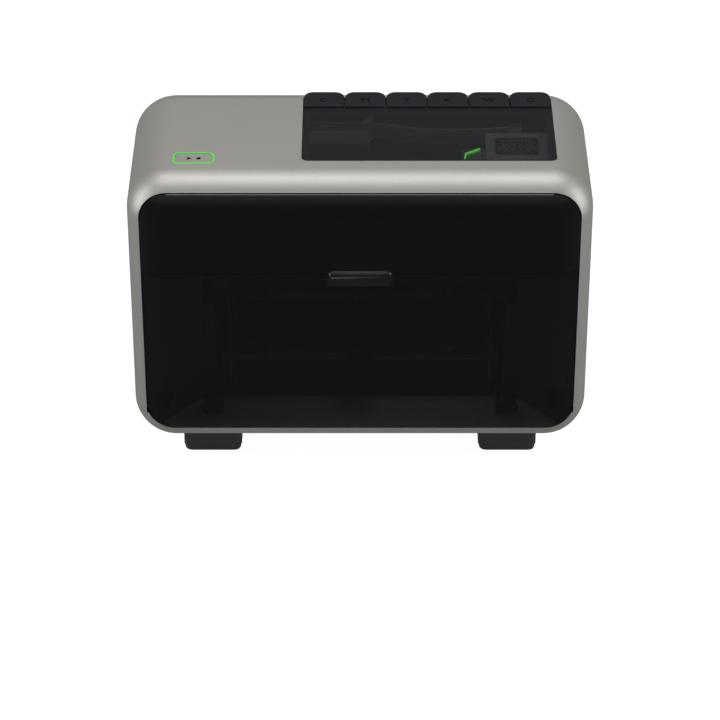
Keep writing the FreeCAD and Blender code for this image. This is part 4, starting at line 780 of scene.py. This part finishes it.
# %% Sink the panel into the carriage's cover
cover_low, cover_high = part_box("carriage_cover")
PANEL_SIZE = Vector((50.0 * MM, 37.0 * MM, 1.2 * MM))
PANEL_MIDDLE = Vector((cover_low.x + 35.0 * MM, cover_high.y - 32.0 * MM, cover_high.z))


def add_port_panel():
    """The sunk panel on the cover's lid: a low rim with rounded corners round a recessed floor."""
    half = PANEL_SIZE / 2
    panel = add_block("port_panel", PANEL_MIDDLE - Vector((half.x, half.y, 0.0)),
                      PANEL_MIDDLE + Vector((half.x, half.y, PANEL_SIZE.z)))
    ease(panel, along(2), 5.0 * MM, 6)
    pick_faces(panel, faces_up)
    bpy.ops.mesh.inset(thickness=0.8 * MM)
    bpy.ops.mesh.inset(thickness=0.3 * MM, depth=-0.8 * MM)
    return fit(close(panel), "carriage", BLACK_PLASTIC)


print(add_port_panel().name)

# %% Raise the ink ports and channels
PORT_PLASTIC = grained("port_plastic", (0.34, 0.35, 0.37), 0.40, 900.0, 0.00003)
PORTS = 8
PORT_STEP = 4.3 * MM
PORT_SET_BACK = 12.5 * MM
PORT_R, PORT_HEIGHT = 1.1 * MM, 0.9 * MM
CHANNEL_R = 0.38 * MM
CHANNEL_START = 6.0 * MM
CHANNEL_ENDS = [(-22.0, -4.5), (-22.0, -11.5), (-16.5, -14.5), (-6.0, -14.5)]  # left half, in mm
END_PULL = 0.35  # how far the last handle reaches, as a share of the channel's span
FLOOR_Z = PANEL_MIDDLE.z + 0.4 * MM


def add_port(number):
    """One ink port: a low boss with a dished top."""
    x = PANEL_MIDDLE.x + (number - (PORTS - 1) / 2) * PORT_STEP
    place = (x, PANEL_MIDDLE.y + PORT_SET_BACK, FLOOR_Z + 0.4 * MM)
    port = add_drum(f"ink_port_{number}", place, PORT_R, PORT_HEIGHT, 20)
    pick_faces(port, faces_up)
    bpy.ops.mesh.inset(thickness=0.35 * MM)
    bpy.ops.mesh.inset(thickness=0.1 * MM, depth=-0.3 * MM)
    return fit(close(port), "carriage", PORT_PLASTIC)


def free_handles(*points):
    """Lets each handle of a curve's points be placed by itself."""
    for point in points:
        point.handle_left_type = "FREE"
        point.handle_right_type = "FREE"


def add_channel(number):
    """One ink channel, from its port out to the panel's edge."""
    side = -1 if number < PORTS / 2 else 1
    end_x, end_y = CHANNEL_ENDS[number if side < 0 else PORTS - 1 - number]
    start_x = (number - (PORTS - 1) / 2) * PORT_STEP
    bpy.ops.object.select_all(action="DESELECT")
    bpy.ops.curve.primitive_bezier_curve_add(location=(PANEL_MIDDLE.x, PANEL_MIDDLE.y, FLOOR_Z))
    channel = bpy.context.object
    channel.name = f"ink_channel_{number}"
    first, last = channel.data.splines[0].bezier_points
    first.co = (start_x, CHANNEL_START, 0.0)
    last.co = (-side * end_x * MM, end_y * MM, 0.0)
    free_handles(first, last)
    first.handle_left = first.co + Vector((0, 4 * MM, 0))
    first.handle_right = first.co - Vector((0, 6 * MM, 0))
    reach = (last.co - first.co) * END_PULL
    last.handle_left = last.co - reach
    last.handle_right = last.co + reach
    channel.data.bevel_depth = CHANNEL_R
    channel.data.bevel_resolution = 2
    channel.data.use_fill_caps = True
    bpy.ops.object.convert(target="MESH")
    settle(channel)
    return fit(channel, "carriage", PORT_PLASTIC)


for number in range(PORTS):
    add_port(number)
    add_channel(number)
print("ports and channels:", PORTS)

# %% [markdown]
# ## The height sensor's light
#
# Beside the carriage sits the laser that measures how high the printed thing stands. A bent strip of
# clear plastic leads a little of its light to the window, where it shows that the sensor is on. The
# strip lies on a sheet bracket, which is a block with two rounded corners.

# %% Carry the light strip
STRIP_POINTS = [(-24.4, -14.0), (-23.6, -3.6), (-7.0, 7.5)]  # in mm, from the cover's left side
STRIP_R = 0.8 * MM
STRIP_RISE = 1.0 * MM
ON_THE_EDGE = 1e-5
SENSOR_GLOW = lit("sensor_glow", (0.12, 0.95, 0.06), 1.5)


def add_sensor_bracket():
    """The sheet that ties the sensor to the carriage's cover, with two eased corners."""
    low = Vector((cover_low.x - 27.0 * MM, cover_low.y + 24.5 * MM, cover_high.z - 6.5 * MM))
    high = Vector((cover_low.x - 0.05 * MM, cover_high.y - 28.0 * MM, cover_high.z - 4.5 * MM))
    bracket = add_block("sensor_bracket", low, high)
    ease(bracket, lambda a, b: along(2)(a, b) and a.x < low.x + ON_THE_EDGE, 4.0 * MM, 5)
    return fit(bracket, "carriage", ALUMINIUM), high.z


def add_light_strip(height):
    """The bent light guide, round in section."""
    bpy.ops.object.select_all(action="DESELECT")
    bpy.ops.curve.primitive_nurbs_path_add(location=(0.0, 0.0, 0.0))
    strip = bpy.context.object
    strip.name = "sensor_light"
    strip.data.splines.clear()
    spline = strip.data.splines.new("POLY")
    spline.points.add(len(STRIP_POINTS) - 1)
    for point, (x, y) in zip(spline.points, STRIP_POINTS):
        point.co = (cover_low.x + x * MM, y * MM, height + STRIP_RISE, 1.0)
    strip.data.dimensions = "3D"
    strip.data.bevel_depth = STRIP_R
    strip.data.bevel_resolution = 3
    strip.data.use_fill_caps = True
    bpy.ops.object.convert(target="MESH")
    settle(strip)
    return fit(strip, "carriage", SENSOR_GLOW)


bracket, bracket_top = add_sensor_bracket()
print(bracket.name, add_light_strip(bracket_top).name)

# %% [markdown]
# ## The back of the cabinet
#
# The rear panel is held by cross-head screws. Each head is a shallow disc with a bevelled rim, and
# its cross recess is not cut: two dark bars laid on it are painted shade for the recess. The data
# socket has a shell of drawn steel behind the panel's cut-out: a thin plate whose middle is inset and
# pushed in.

# %% Press the screw heads
HEAD_R, HEAD_T = 3.6 * MM, 0.7 * MM
RIM_W, DOME_RISE = 0.5 * MM, 0.25 * MM
CROSS_W, CROSS_L = 0.9 * MM, 4.4 * MM
CROSS_HALF_T, CROSS_RISE = 0.2 * MM, 0.1 * MM


def add_screw_head(name, place):
    """A cross-head screw facing the back, with two dark bars on it as painted shade for its cross recess.
    """
    head = add_drum(name, place, HEAD_R, HEAD_T, 24, (math.radians(90), 0.0, 0.0))
    pick_faces(head, faces_back)
    bpy.ops.mesh.inset(thickness=RIM_W)
    bpy.ops.transform.translate(value=(0.0, DOME_RISE, 0.0))
    close(head)
    # The cross is painted shade: two flat black bars stand for the dark of the recess, which is not cut.
    for number, (across, up) in enumerate(((CROSS_L, CROSS_W), (CROSS_W, CROSS_L))):
        half = Vector((across / 2, CROSS_HALF_T, up / 2))
        middle = Vector(place) + Vector((0.0, HEAD_T / 2 + CROSS_RISE, 0.0))
        bar = add_block(f"{name}_cross_{number}", middle - half, middle + half)
        fit(bar, "cabinet", INLAY_AND_SHADE)
    return fit(head, "cabinet", ZINC)


rear_low, rear_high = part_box("rear_panel")
SCREW_X = rear_high.x - 18.0 * MM
SCREW_HEIGHTS = (rear_low.z + 38.0 * MM, rear_high.z - 30.0 * MM)
HEAD_FACE = rear_high.y - 0.3 * MM - HEAD_T / 2
screw_places = [(side * SCREW_X, HEAD_FACE, height) for side in (-1, 1) for height in SCREW_HEIGHTS]
for number, place in enumerate(screw_places):
    add_screw_head(f"screw_head_{number}", place)
print("screw heads:", len(screw_places))

# %% Line the data socket
SOCKET_PLACE = (110.0 * MM, 140.0 * MM)
SOCKET_SIZE = Vector((13.4 * MM, 0.15 * MM, 11.4 * MM))
SOCKET_LIP = 1.9 * MM
SOCKET_DEPTH = 7.5 * MM


def add_socket_shell():
    """The drawn metal shell of the data socket: a flat lip, and walls that go in from it."""
    middle = Vector((SOCKET_PLACE[0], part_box("circuit_boards")[1].y, SOCKET_PLACE[1]))
    shell = add_block("data_socket_shell", middle - SOCKET_SIZE / 2, middle + SOCKET_SIZE / 2)
    pick_faces(shell, faces_back)
    bpy.ops.mesh.inset(thickness=SOCKET_LIP)
    push = {"value": (0.0, -SOCKET_DEPTH, 0.0)}
    bpy.ops.mesh.extrude_region_move(TRANSFORM_OT_translate=push)
    return fit(close(shell), "cabinet", ZINC)


print(add_socket_shell().name)

# %% [markdown]
# ## The loose ink tubes
#
# Six tubes hang between the anchor over the beam and the carriage. On the printer they bend as the
# carriage slides, so each is a curve with enough rings along its length, made a mesh. The six are
# then joined, and the bundle stands for the design's plain one.

# %% Hang the tubes
tubes_low, tubes_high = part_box("carriage_tubes")
LOOSE_TUBES = 6
TUBE_R = 1.5 * MM
TUBE_RISE = 3.4 * MM
TUBE_SAG = 6.0 * MM
TUBE_RINGS = 40
TUBE_ANGLE = math.radians(40)
BEZIER_PULL = 4.0 / 3.0  # a handle lies this much farther out than the curve's own middle


def add_loose_tube(number):
    """One tube from the anchor to the carriage, sagging a little in the middle."""
    rise = tubes_high.z - TUBE_R - (LOOSE_TUBES - 1 - number) * TUBE_RISE
    start = Vector((tubes_low.x, tubes_high.y - TUBE_R, rise))
    end = Vector((tubes_high.x, tubes_low.y + TUBE_R, rise))
    bpy.ops.object.select_all(action="DESELECT")
    bpy.ops.curve.primitive_bezier_curve_add(location=(0.0, 0.0, 0.0))
    tube = bpy.context.object
    tube.name = f"loose_tube_{number}"
    first, last = tube.data.splines[0].bezier_points
    free_handles(first, last)
    droop = Vector((0.0, 0.0, -TUBE_SAG * BEZIER_PULL))
    first.co = start
    last.co = end
    first.handle_right = start + (end - start) / 3 + droop
    first.handle_left = start * 2 - first.handle_right
    last.handle_left = start + (end - start) * 2 / 3 + droop
    last.handle_right = end * 2 - last.handle_left
    tube.data.resolution_u = TUBE_RINGS
    tube.data.bevel_depth = TUBE_R
    tube.data.bevel_resolution = 4
    tube.data.use_fill_caps = True
    bpy.ops.object.convert(target="MESH")
    return settle(tube)


tubes = [add_loose_tube(number) for number in range(LOOSE_TUBES)]
bpy.ops.object.select_all(action="DESELECT")
for tube in tubes:
    tube.select_set(True)
bpy.context.view_layer.objects.active = tubes[0]
bpy.ops.object.join()
bundle = tubes[0]
bundle.name = "loose_tubes"
dress(bundle, TUBING)
bpy.ops.object.shade_smooth_by_angle(angle=TUBE_ANGLE)
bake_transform(bundle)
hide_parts("carriage_tubes")
print(bundle.name, len(bundle.data.polygons), "faces")
